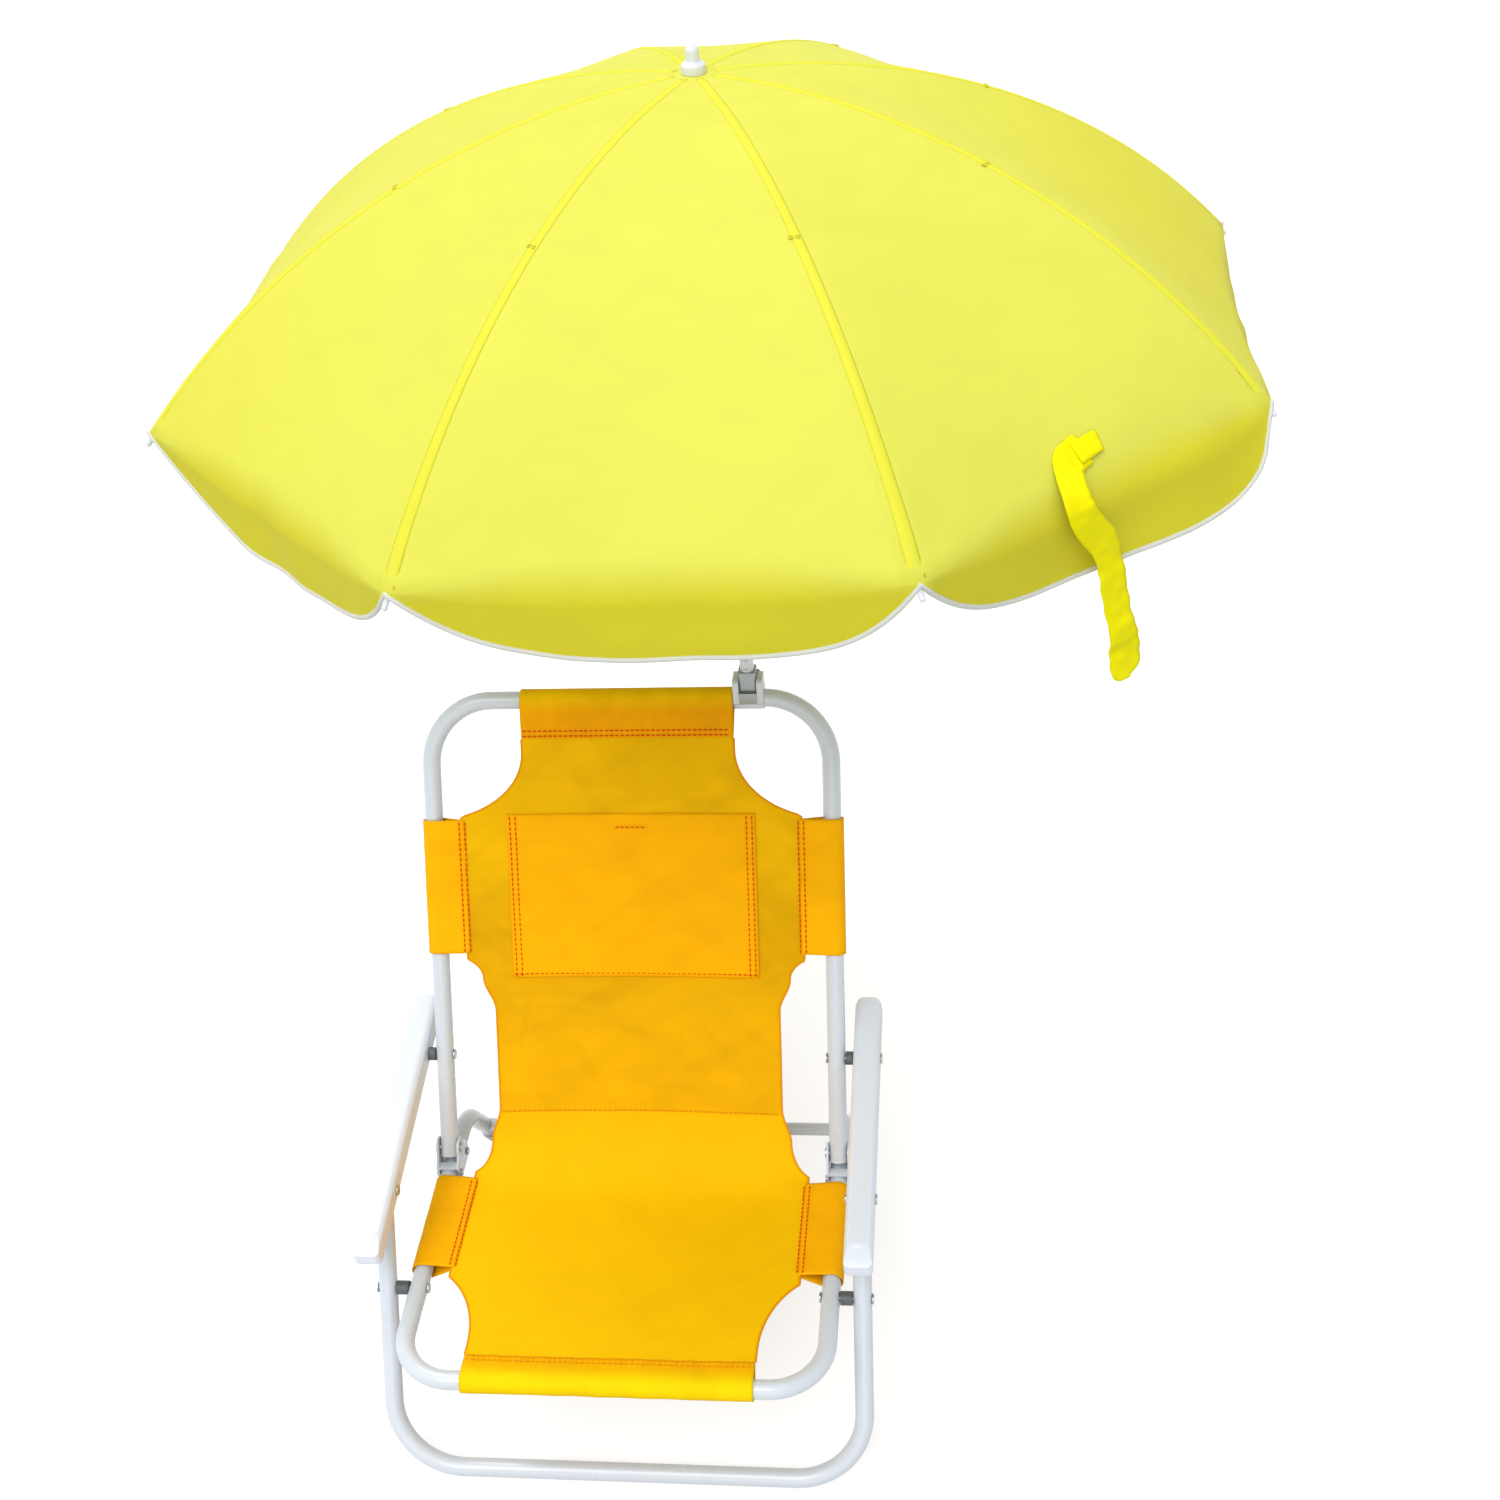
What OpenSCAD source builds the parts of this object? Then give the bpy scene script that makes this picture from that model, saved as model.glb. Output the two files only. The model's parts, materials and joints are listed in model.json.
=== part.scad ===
// Child's folding beach chair with a clamp-on umbrella.
// Millimetres. X runs across the chair, Y from its front to its back, Z up.
// Left and right are the sitter's, so the left armrest is at +X.
// The row's origin is on the floor, under the middle of the outer box.

/* [Frame tubes] */
// Outside diameter of the steel frame tubes
tube_d = 16; // [14:0.5:17]
// Wall of the frame tubes
tube_wall = 1.2; // [0.8:0.1:2]
// Distance between the centres of the back frame's and seat frame's side tubes
body_frame_w = 356; // [320:1:400]
// Clear gap on each side between those tubes and the front leg frame's, filled by the spacers
side_gap = 11; // [9:0.5:16]
// Lean of the back and of the front legs from the vertical
lean = 35.5; // [30:0.5:40]
// Fall of the seat towards the back
seat_slope = 7; // [3:0.5:10]
// Bend radius of the front leg frame's corners
leg_corner_r = 60; // [45:1:75]
// Bend radius of the seat frame's front corners
seat_corner_r = 46; // [36:1:60]
// Bend radius of the back frame's top corners
back_corner_r = 57; // [40:1:57]
// Bend radius of the rear legs
rear_bend_r = 45; // [30:1:50]

/* [Linkage] */
// Distance from the floor bar up the leg to the seat pivot
leg_pivot_up = 163; // [155:1:170]
// Distance from the seat pivot forward to the seat's front bar
seat_front = 92; // [85:1:100]
// Distance from the seat pivot back to the back hinge
hinge_back = 143; // [138:1:150]
// Height of the back hinge over the seat tubes
hinge_rise = 20; // [19:0.5:24]
// Length of the back from its hinge to its top bar
back_len = 410; // [380:2:430]
// Distance from the seat pivot and the back hinge up to the armrest pivots
arm_crank = 87.5; // [80:0.5:95]
// Distance from the seat pivot back to the bend of the rear legs
rear_bend_at = 178; // [176:1:185]
// Angle of the rear legs below the horizontal
rear_leg_angle = 62; // [55:1:75]
// Diameter of the pivot rivets
rivet_d = 5; // [4:0.5:5]
// Diameter of the pivot rivets' heads
rivet_head_d = 9; // [8:0.5:10]
// Height of the rivet heads
rivet_head_h = 1.5; // [1:0.1:2]

/* [Armrests] */
// Width of an armrest
arm_w = 24; // [23:0.5:28]
// Wall of an armrest
arm_wall = 2.4; // [2:0.1:2.6]
// Height of an armrest's top over its pivots
arm_top = 13.3; // [13.3:0.1:16]
// Depth of an armrest's lower edge under its pivots
arm_under = 5.2; // [5:0.1:8]
// Length of an armrest in front of its front pivot
arm_front = 69; // [55:1:80]
// Length of an armrest behind its rear pivot
arm_rear = 58; // [45:1:70]

/* [Sling] */
// Thickness of the sling cloth, doubled and coated
cloth_t = 1.2; // [0.8:0.1:1.6]
// Sag of the sling in its middle
sling_sag = 16; // [8:1:22]
// Half width of the sling at the front bar
sling_front_half = 121; // [105:1:125]
// Half width of the sling at its waist
sling_waist_half = 128; // [115:1:140]
// Width of the pocket panel on the back
pocket_w = 222; // [180:2:230]
// Length of the pocket panel down the back
pocket_h = 149; // [120:1:150]

/* [Umbrella] */
// Gap along the top bar between the sling's sleeve and the umbrella clamp
clamp_gap = 1; // [0.5:0.5:6]
// Lean of the pole towards the back
pole_tilt = 8; // [0:0.5:12]
// Outside diameter of the pole's upper section
pole_d = 10; // [9:0.5:10]
// Wall of both pole sections
pole_wall = 0.8; // [0.6:0.1:1]
// Height of the umbrella's rim over the top bar, along the pole
rim_up = 348; // [340:1:400]
// Radius of the canopy at its corners
canopy_r = 429; // [400:1:435]
// Height of the dome over its rim
dome_h = 189; // [175:1:200]
// Drop of each gore's hem under its corners
hem_drop = 50; // [35:1:65]
// Thickness of the canopy solid
canopy_t = 1; // [0.6:0.1:1]
// Number of ribs
rib_count = 8; // [8:1:8]
// Diameter of the rib and stretcher wire
wire_d = 3; // [2.6:0.1:3]
// Radius of the rib hinges on the crown and of the stretcher hinges on the runner
hinge_ring_r = 12; // [11.5:0.1:13]
// Radius at which the stretchers meet the ribs
stretcher_at = 205; // [195:1:215]
// Length of the tie strap that hangs below the hem
strap_hang = 101; // [90:1:150]
// Width of the tie strap
strap_w = 20; // [15:1:25]

/* [Hidden] */

$fn = 48;
eps = 0.01;
// Overlap of the rear legs' straight ends with their bends
weld = 0.4;
// Running clearance on a radius, and the gap between faces that pass each other
run = 0.05;
gap = 0.3;
tube_r = tube_d / 2;
leg_frame_w = body_frame_w + 2 * (tube_d + side_gap);
leg_x = leg_frame_w / 2;
body_x = body_frame_w / 2;

// Pivots in the side view, as [y, z]: seat pivot, back hinge, armrest pivots, top bar
lean_dir = [sin(lean), cos(lean)];
seat_dir = [cos(seat_slope), -sin(seat_slope)];
seat_up = [sin(seat_slope), cos(seat_slope)];
floor_bar = [0, tube_r];
seat_pivot = floor_bar + leg_pivot_up * lean_dir;
back_hinge = seat_pivot + hinge_back * seat_dir + hinge_rise * seat_up;
arm_front_pivot = seat_pivot + arm_crank * lean_dir;
arm_rear_pivot = back_hinge + arm_crank * lean_dir;
top_bar = back_hinge + back_len * lean_dir;
arm_span = norm(arm_rear_pivot - arm_front_pivot);
arm_pitch = atan2(arm_rear_pivot[1] - arm_front_pivot[1], arm_rear_pivot[0] - arm_front_pivot[0]);

// Seat frame's rear legs, in the seat's own plane: bend angle and straight length
rear_bend = rear_leg_angle - seat_slope;
rear_leg_start = [rear_bend_at + rear_bend_r * sin(rear_bend), rear_bend_r * (cos(rear_bend) - 1)];
rear_leg_top = seat_pivot + rear_leg_start[0] * seat_dir + rear_leg_start[1] * seat_up;
tube_end_z = 6.5;
rear_leg_len = (rear_leg_top[1] - tube_end_z) / sin(rear_leg_angle);
foot_y = rear_leg_top[0] + rear_leg_len * cos(rear_leg_angle);
foot_wall = 2.5;
foot_len = 24;
crossbar_d = 12;
crossbar_wall = 1;
crossbar_at = 48;
end_over = 6.5;

// Hinge bracket on the seat tube
cheek_t = 2;
cheek_gap = 0.4;
cheek_in = tube_r + cheek_gap;
cheek_out = cheek_in + cheek_t;
bracket_half = 18;
bracket_r = 9.5;
bracket_under = 6;
bracket_rivet_d = 4;
web_from = 10;
bracket_top = tube_r + gap + cheek_t;

// Spacers and washers round the rivets
spacer_d = 12;
washer_d = 11;
arm_in = arm_w / 2 - arm_wall;
nose_len = 30;
arm_front_corner = 5;
arm_rear_corner = 8;
nose_r = 80;

// Sling path in the seat's own plane, s running from the front bar to the top bar
sleeve_in = tube_r + 0.1;
sleeve_out = sleeve_in + cloth_t;
sheet_up = sleeve_out;
turn = 90 - lean + seat_slope;
crease_r = 50;
corner_t = (sheet_up - hinge_rise - sheet_up * cos(turn)) / sin(turn);
corner_q = hinge_back - sheet_up * sin(turn) + corner_t * cos(turn);
tangent = crease_r * tan(turn / 2);
seat_run = seat_front + corner_q - tangent;
crease_run = crease_r * turn * PI / 180;
back_start = corner_t + tangent;
back_run = back_len - back_start;
sling_len = seat_run + crease_run + back_run;
// Sleeves: start and end from the front bar, and from the top bar
seat_sleeve = [109, 210];
back_sleeve = [106, 227];
front_flare = [30, 108];
top_flare = [45, 106];
waist_from = 28;
waist_run = 32;
knee_half = sling_waist_half + 8;
pocket_top = 101;
pocket_gap = 0.5;

// Umbrella, measured up the pole from the top bar's axis, r out from the pole
rib_step = 360 / rib_count;
dome_rho = (pow(canopy_r, 2) + pow(dome_h, 2)) / (2 * dome_h);
dome_mid = rim_up + dome_h - dome_rho;
rib_under = canopy_t + 1.4 + wire_d / 2;
rib_rho = dome_rho - rib_under;
rim_angle = asin(canopy_r / dome_rho);
rib_foot_angle = asin(hinge_ring_r / rib_rho);
crown_z = dome_mid + rib_rho * cos(rib_foot_angle);
lug_drop = 4.5;
joint_angle = asin(stretcher_at / (rib_rho - lug_drop));
joint_z = dome_mid + (rib_rho - lug_drop) * cos(joint_angle);
stretcher_len = norm([stretcher_at - hinge_ring_r, crown_z - joint_z]);
runner_z = 2 * joint_z - crown_z;
stretcher_rise = atan2(joint_z - runner_z, stretcher_at - hinge_ring_r);
pole_lower_d = pole_d + 2 * run * 2 + 2 * pole_wall + 0.2;
blade_t = 1.6;
eye_r = 2.2;
eye_bore = 1.5;
ring_wire_d = eye_bore - 2 * run;
slot_w = 2.4;
slot_from = hinge_ring_r - eye_r - 1.2;
blade_len = 11;
hub_r = hinge_ring_r + 5;
hub_under = 6;
hub_over = 1.8;
pin_d = 2;
ear_t = 1;
lug_r = 3;
tip_d = 4;
tip_len = 14;
tip_on = 6;
runner_r = 7.2;
runner_under = 16;
flange_half = 4.5;

// Umbrella clamp round the top bar
clamp_half = 13;
clamp_x = body_x - back_corner_r - clamp_half;
sling_top_half = clamp_x - clamp_half - clamp_gap;
clamp_r = tube_r + 2.4;
clamp_split = 0.5;
ear_to = 24;
ear_h = 6;
screw_y = 17.5;
screw_d = 4;
socket_half = 7.5;
socket_base = clamp_r + 0.1;
socket_floor = socket_base + 1.5;
socket_top = 30;
tongue_foot = 2;
jaw_r = tube_r + 1.6;
cheek_to = 23;
stud_holes = [34, 43];
pole_foot = socket_floor + 0.1;
lower_top = 70;
collar_h = 14;
collar_r = 9.5;
collar_z = lower_top - collar_h / 2 - 1;
upper_foot = 18;

// Row origin, from the outermost pieces
half_step = rib_step / 2;
tip_reach = rib_rho * sin(rim_angle) + (tip_len - tip_on) * cos(rim_angle) + tip_d / 2;
rim_y = top_bar[0] + rim_up * sin(pole_tilt);
low_x = min(-leg_x - arm_w / 2 - rivet_head_h, clamp_x - tip_reach * cos(half_step));
high_x = clamp_x + tip_reach * cos(half_step);
high_y = rim_y + tip_reach * cos(half_step) * cos(pole_tilt);
origin_x = (low_x + high_x) / 2;
origin_y = (high_y - tube_r) / 2;

white = [0.93, 0.94, 0.95];
nylon = [0.96, 0.96, 0.97];
steel = [0.62, 0.64, 0.65];
zinc = [0.60, 0.63, 0.63];
rubber = [0.18, 0.18, 0.19];
foot_grey = [0.78, 0.79, 0.80];
amber = [1.0, 0.70, 0.02];
mustard = [0.90, 0.69, 0.02];
lemon = [0.96, 0.96, 0.30];

// Places
module in_row() {
    translate([-origin_x, -origin_y, 0]) children();
}

module at_seat() {
    translate([0, seat_pivot[0], seat_pivot[1]]) rotate([-seat_slope, 0, 0]) children();
}

module at_back() {
    translate([0, back_hinge[0], back_hinge[1]]) rotate([-lean, 0, 0]) children();
}

module at_leg() {
    translate([0, floor_bar[0], floor_bar[1]]) rotate([-lean, 0, 0]) children();
}

module at_arm() {
    translate([0, arm_front_pivot[0], arm_front_pivot[1]]) rotate([arm_pitch, 0, 0]) children();
}

module at_clamp() {
    translate([clamp_x, top_bar[0], top_bar[1]]) rotate([-pole_tilt, 0, 0]) children();
}

// Turns to rib number n, with the rib's own plane as X and Z
module at_rib(n) {
    rotate([0, 0, half_step + rib_step * (n - 1)]) children();
}

module both_sides() {
    children();
    mirror([1, 0, 0]) children();
}

// Cylinder along X from x1 to x2
module bar(x1, x2, d) {
    translate([x1, 0, 0]) rotate([0, 90, 0]) cylinder(d = d, h = x2 - x1);
}

module washer(x1, x2, d, bore) {
    difference() {
        bar(x1, x2, d);
        bar(x1 - 1, x2 + 1, bore);
    }
}

// Rivet along X through x1 to x2, with a head at each end
module rivet(x1, x2, d = rivet_d, head_d = rivet_head_d) {
    bar(x1 - rivet_head_h, x2 + rivet_head_h, d);
    bar(x1 - rivet_head_h, x1 - run, head_d);
    bar(x2 + run, x2 + rivet_head_h, head_d);
}

// Bent rod in the XY plane, from +X round by the angle
module bend(r, angle, d) {
    rotate_extrude(angle = angle, $fn = 96) translate([r, 0]) circle(d = d, $fn = 48);
}

// U of round rod in the XY plane: cross bar on the X axis, sides running to +Y
module u_rod(w, r, len, d, extra = 0) {
    bar(-w / 2 + r, w / 2 - r, d);
    for (side = [-1, 1]) {
        translate([side * (w / 2 - r), r, 0]) rotate([0, 0, side > 0 ? -90 : 180]) bend(r, 90, d);
        translate([side * w / 2, r, 0]) rotate([-90, 0, 0]) cylinder(d = d, h = len - r + extra);
    }
}

// Seat frame
module seat_rod(d, extra = 0) {
    translate([0, -seat_front, 0]) u_rod(body_frame_w, seat_corner_r, seat_front + rear_bend_at, d);
    for (side = [-1, 1]) {
        translate([side * body_x, rear_bend_at, -rear_bend_r])
            rotate([90, 0, 90]) rotate([0, 0, 90]) mirror([0, 1, 0]) bend(rear_bend_r, rear_bend, d);
        translate([side * body_x, rear_leg_start[0], rear_leg_start[1]])
            rotate([-90 - rear_bend, 0, 0]) translate([0, 0, -weld])
                cylinder(d = d - weld / 10, h = rear_leg_len + weld + extra);
    }
}

module seat_frame() {
    color(white) at_seat() difference() {
        seat_rod(tube_d);
        seat_rod(tube_d - 2 * tube_wall, 1);
        both_sides() bar(body_x - tube_d, body_x + tube_d, rivet_d + 2 * run);
        both_sides() for (y = [-1, 1])
            translate([0, hinge_back + y * (bracket_half - 5), 0])
                bar(body_x - tube_d, body_x + tube_d, bracket_rivet_d + 2 * run);
    }
}

module rear_crossbar() {
    at = rear_leg_start + crossbar_at * [cos(rear_bend), -sin(rear_bend)];
    color(white) at_seat() difference() {
        translate([0, at[0], at[1]]) bar(-body_x, body_x, crossbar_d);
        translate([0, at[0], at[1]])
            bar(-body_x - 1, body_x + 1, crossbar_d - 2 * crossbar_wall);
        for (side = [-1, 1]) translate([side * body_x, rear_leg_start[0], rear_leg_start[1]])
            rotate([-90 - rear_bend, 0, 0])
                cylinder(d = tube_d + 2 * run, h = rear_leg_len);
    }
}

module rear_feet() {
    color(foot_grey) both_sides() difference() {
        translate([body_x, foot_y, tube_end_z]) rotate([90 - rear_leg_angle, 0, 0])
            translate([0, 0, -2 * tube_end_z])
                cylinder(d = tube_d + 2 * foot_wall, h = foot_len + 2 * tube_end_z);
        translate([body_x, foot_y, tube_end_z]) rotate([90 - rear_leg_angle, 0, 0])
            cylinder(d = tube_d + 2 * run, h = foot_len + 1);
        translate([body_x - tube_d, foot_y - foot_len, -2 * foot_len])
            cube([2 * tube_d, 2 * foot_len, 2 * foot_len]);
    }
}

// Folded steel bracket over each seat tube, whose cheeks hold the back's hinge rivet
module bracket_cheek() {
    rotate([90, 0, 90]) linear_extrude(cheek_t) difference() {
        union() {
            translate([hinge_back, hinge_rise]) circle(r = bracket_r);
            polygon([[hinge_back - bracket_half, -bracket_under],
                [hinge_back + bracket_half, -bracket_under],
                [hinge_back + bracket_half, bracket_top],
                [hinge_back + bracket_r, hinge_rise],
                [hinge_back - bracket_r, hinge_rise],
                [hinge_back - bracket_half, bracket_top]]);
        }
        translate([hinge_back, hinge_rise]) circle(d = rivet_d + 2 * run);
        for (y = [-1, 1]) translate([hinge_back + y * (bracket_half - 5), 0])
            circle(d = bracket_rivet_d + 2 * run);
    }
}

module hinge_brackets() {
    color(white) at_seat() both_sides() {
        translate([body_x + cheek_in, 0, 0]) bracket_cheek();
        translate([body_x - cheek_out, 0, 0]) bracket_cheek();
        for (y = [web_from, -bracket_half])
            translate([body_x - cheek_in - eps, hinge_back + y, bracket_top - cheek_t])
                cube([2 * cheek_in + 2 * eps, bracket_half - web_from, cheek_t]);
    }
}

module back_hinge_rivets() {
    color(steel) at_seat() both_sides() {
        translate([0, hinge_back, hinge_rise]) rivet(body_x - cheek_out, body_x + cheek_out);
        for (y = [-1, 1]) translate([0, hinge_back + y * (bracket_half - 5), 0])
            rivet(body_x - cheek_out, body_x + cheek_out, bracket_rivet_d, rivet_head_d - 2);
    }
}

module leg_pivot_spacers() {
    color(nylon) at_seat() both_sides()
        washer(body_x + tube_r + gap, leg_x - tube_r - gap, spacer_d, rivet_d + 2 * run);
}

module leg_pivot_rivets() {
    color(steel) at_seat() both_sides() rivet(body_x - tube_r, leg_x + tube_r);
}

// Back frame
module back_rod(d, extra = 0) {
    translate([0, 0, back_len]) rotate([-90, 0, 0])
        u_rod(body_frame_w, back_corner_r, back_len + end_over, d, extra);
}

module back_frame() {
    color(white) at_back() difference() {
        back_rod(tube_d);
        back_rod(tube_d - 2 * tube_wall, 1);
        both_sides() for (z = [0, arm_crank])
            translate([0, 0, z]) bar(body_x - tube_d, body_x + tube_d, rivet_d + 2 * run);
    }
}

module back_end_plugs() {
    color(nylon) at_back() both_sides() translate([body_x, 0, -end_over]) {
        translate([0, 0, -1]) cylinder(d = tube_d, h = 1);
        translate([0, 0, -eps]) cylinder(d = tube_d - 2 * tube_wall - 2 * run, h = 3);
    }
}

module arm_spacers() {
    color(nylon) at_back() both_sides() translate([0, 0, arm_crank])
        washer(body_x + tube_r + gap, leg_x - arm_w / 2 - gap, spacer_d, rivet_d + 2 * run);
}

module arm_rear_rivets() {
    color(steel) at_back() both_sides() translate([0, 0, arm_crank])
        rivet(body_x - tube_r, leg_x + arm_w / 2);
}

// Front leg frame
module leg_rod(d, extra = 0) {
    rotate([90, 0, 0])
        u_rod(leg_frame_w, leg_corner_r, leg_pivot_up + arm_crank + end_over, d, extra);
}

module leg_frame() {
    color(white) at_leg() difference() {
        leg_rod(tube_d);
        leg_rod(tube_d - 2 * tube_wall, 1);
        both_sides() for (z = [leg_pivot_up, leg_pivot_up + arm_crank])
            translate([0, 0, z]) bar(leg_x - tube_d, leg_x + tube_d, rivet_d + 2 * run);
    }
}

module arm_front_rivets() {
    color(steel) at_leg() both_sides() translate([0, 0, leg_pivot_up + arm_crank])
        rivet(leg_x - arm_w / 2, leg_x + arm_w / 2);
}

module arm_front_washers() {
    room = arm_in - tube_r;
    color(nylon) at_leg() both_sides() translate([0, 0, leg_pivot_up + arm_crank]) {
        washer(leg_x + tube_r + run, leg_x + tube_r + room - gap, washer_d, rivet_d + 2 * run);
        washer(leg_x - tube_r - room + gap, leg_x - tube_r - run, washer_d, rivet_d + 2 * run);
    }
}

// Armrest: a moulded channel, open below, round the leg's top end
module arm_plan(inset, y1, y2) {
    half = arm_w / 2 - inset;
    front = arm_front_corner - inset;
    rear = arm_rear_corner - inset;
    for (side = [-1, 1]) {
        translate([side * (half - front), y1 + front]) circle(r = front);
        translate([side * (half - rear), y2 - rear]) circle(r = rear);
    }
    translate([-half, y1 + front]) square([2 * half, y2 - y1 - front - rear]);
    translate([front - half, y1]) square([2 * (half - front), y2 - y1 - rear]);
    translate([rear - half, y1 + front]) square([2 * (half - rear), y2 - y1 - front]);
}

module arm_side(y1, y2) {
    translate([y1 + nose_len, -arm_under]) square([y2 - y1 - nose_len, arm_top + arm_under]);
    intersection() {
        translate([y1, -arm_under]) square([nose_len + eps, arm_top + arm_under]);
        translate([y1 + nose_len, arm_top - nose_r]) circle(r = nose_r, $fn = 180);
    }
}

module arm_section() {
    r = 7;
    half = arm_w / 2;
    translate([-half, -arm_under]) square([arm_w, arm_top + arm_under - r]);
    translate([-half + r, -arm_under]) square([arm_w - 2 * r, arm_top + arm_under]);
    for (side = [-1, 1]) translate([side * (half - r), arm_top - r]) circle(r = r);
}

module armrest() {
    y1 = -arm_front;
    y2 = arm_span + arm_rear;
    boss = 11;
    height = arm_top + arm_under;
    difference() {
        intersection() {
            translate([0, 0, -arm_under]) linear_extrude(height) arm_plan(0, y1, y2);
            translate([-arm_w / 2, 0, 0]) rotate([90, 0, 90]) linear_extrude(arm_w) arm_side(y1, y2);
            translate([0, y2, 0]) rotate([90, 0, 0]) linear_extrude(y2 - y1) arm_section();
        }
        translate([0, 0, -arm_under - 1]) linear_extrude(height - arm_wall + 1)
            difference() {
                arm_plan(arm_wall, y1 + arm_wall, y2 - arm_wall);
                translate([-arm_w, arm_span - boss]) square([2 * arm_w, 2 * boss]);
                translate([-arm_w, y1]) square([2 * arm_w, 14]);
            }
        bar(-arm_w, arm_w, rivet_d + 2 * gap);
        translate([0, arm_span, 0]) bar(-arm_w, arm_w, rivet_d + 2 * run);
    }
}

module left_armrest() {
    color(white) at_arm() translate([leg_x, 0, 0]) armrest();
}

module right_armrest() {
    color(white) at_arm() translate([-leg_x, 0, 0]) armrest();
}

// Sling: one cloth, as a seat sheet, a back sheet and the free strip at the crease
// Point on the sling's middle line at s, as [y, z, normal y, normal z] in the seat's plane
function sling_at(s) =
    s < seat_run ? [s - seat_front, sheet_up, 0, 1]
    : s < seat_run + crease_run ?
        let (a = (s - seat_run) / crease_r * 180 / PI)
        [seat_run - seat_front + crease_r * sin(a), sheet_up + crease_r * (1 - cos(a)), -sin(a), cos(a)]
    : let (t = s - seat_run - crease_run + back_start)
        [hinge_back - sheet_up * sin(turn) + t * cos(turn),
            hinge_rise + sheet_up * cos(turn) + t * sin(turn), -sin(turn), cos(turn)];

// Quarter ellipse from a at x = 0, square to the edge, to b at x = 1
function ease(a, b, x) = a + (b - a) * (1 - sqrt(max(0, 1 - x * x)));
function blend_to(a, b, x) = a + (b - a) * (1 - cos(180 * x)) / 2;

// Half width of the sling at s
function sling_half(s) =
    let (v = sling_len - s, rear = seat_sleeve[1], low = back_sleeve[1])
    s < front_flare[0] ? sling_front_half
    : s < front_flare[1] ?
        ease(sling_front_half, body_x, (s - front_flare[0]) / (front_flare[1] - front_flare[0]))
    : s < rear ? body_x
    : s < rear + waist_from ? ease(knee_half, body_x, (rear + waist_from - s) / waist_from)
    : s < rear + waist_from + waist_run ?
        blend_to(knee_half, sling_waist_half, (s - rear - waist_from) / waist_run)
    : v > low + 53 ? sling_waist_half
    : v > low + 23 ? blend_to(sling_waist_half, sling_waist_half + 10, (low + 53 - v) / 30)
    : v > low ? ease(sling_waist_half + 10, body_x, (low + 23 - v) / 23)
    : v > top_flare[1] ? body_x
    : v > top_flare[0] ? ease(sling_top_half, body_x, (v - top_flare[0]) / (top_flare[1] - top_flare[0]))
    : sling_top_half;

function sling_point(x, s, lift) =
    let (p = sling_at(s), sag = sling_sag * (1 - pow(x / body_x, 2)) * sin(180 * s / sling_len))
    [x, p[0] + (lift - sag) * p[2], p[1] + (lift - sag) * p[3]];

// Closed sheet over rows of s, with the given half widths, between two lifts
module sheet(rows, halves, low, high, middle = 0, columns = 10) {
    n = len(rows);
    w = columns + 1;
    points = [for (lift = [low, high]) for (i = [0:n - 1]) for (j = [0:columns])
        sling_point(middle + halves[i] * (2 * j / columns - 1), rows[i], lift)];
    function at(k, i, j) = k * n * w + i * w + j;
    faces = concat(
        [for (i = [0:n - 2]) for (j = [0:columns - 1]) for (f = [0, 1])
            f == 0 ? [at(0, i, j), at(0, i + 1, j), at(0, i + 1, j + 1)]
            : [at(0, i, j), at(0, i + 1, j + 1), at(0, i, j + 1)]],
        [for (i = [0:n - 2]) for (j = [0:columns - 1]) for (f = [0, 1])
            f == 0 ? [at(1, i, j), at(1, i + 1, j + 1), at(1, i + 1, j)]
            : [at(1, i, j), at(1, i, j + 1), at(1, i + 1, j + 1)]],
        [for (i = [0:n - 2]) for (f = [0, 1])
            f == 0 ? [at(0, i, 0), at(1, i, 0), at(1, i + 1, 0)]
            : [at(0, i, 0), at(1, i + 1, 0), at(0, i + 1, 0)]],
        [for (i = [0:n - 2]) for (f = [0, 1])
            f == 0 ? [at(0, i, columns), at(1, i + 1, columns), at(1, i, columns)]
            : [at(0, i, columns), at(0, i + 1, columns), at(1, i + 1, columns)]],
        [for (j = [0:columns - 1]) for (f = [0, 1])
            f == 0 ? [at(0, 0, j), at(1, 0, j + 1), at(1, 0, j)]
            : [at(0, 0, j), at(0, 0, j + 1), at(1, 0, j + 1)]],
        [for (j = [0:columns - 1]) for (f = [0, 1])
            f == 0 ? [at(0, n - 1, j), at(1, n - 1, j), at(1, n - 1, j + 1)]
            : [at(0, n - 1, j), at(1, n - 1, j + 1), at(0, n - 1, j + 1)]]);
    polyhedron(points, [for (f = faces) [f[2], f[1], f[0]]]);
}

// Rows between a and b, closer together near b where the edge turns sharply
function rows_to(a, b, n) = [for (i = [0:n - 1]) a + (b - a) * sin(90 * i / n)];
function widths(rows) = [for (s = rows) sling_half(s)];

// Rows of the back sheet, from the crease to the top bar
back_from = seat_run + crease_run + gap / 2;
back_low = sling_len - back_sleeve[1];
back_high = sling_len - top_flare[1];
back_neck = sling_len - top_flare[0];
back_rows = concat([back_from], [for (i = [1:5]) back_from + (back_low - 53 - back_from) * i / 5],
    [back_low - 36], rows_to(back_low - 23, back_low, 5),
    [back_low, (back_low + back_high) / 2, back_high],
    [for (i = [1:6]) back_high + (back_neck - back_high) * (1 - cos(15 * i))], [sling_len]);

module sleeve(x1, x2, y, z) {
    translate([0, y, z]) washer(x1, x2, 2 * sleeve_out, 2 * sleeve_in);
}

// Sleeve along a side tube, y1 to y2 in the frame's own plane
module side_sleeve(y1, y2) {
    both_sides() translate([body_x, y1, 0]) rotate([-90, 0, 0]) difference() {
        cylinder(r = sleeve_out, h = y2 - y1);
        translate([0, 0, -1]) cylinder(r = sleeve_in, h = y2 - y1 + 2);
    }
}

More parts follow.
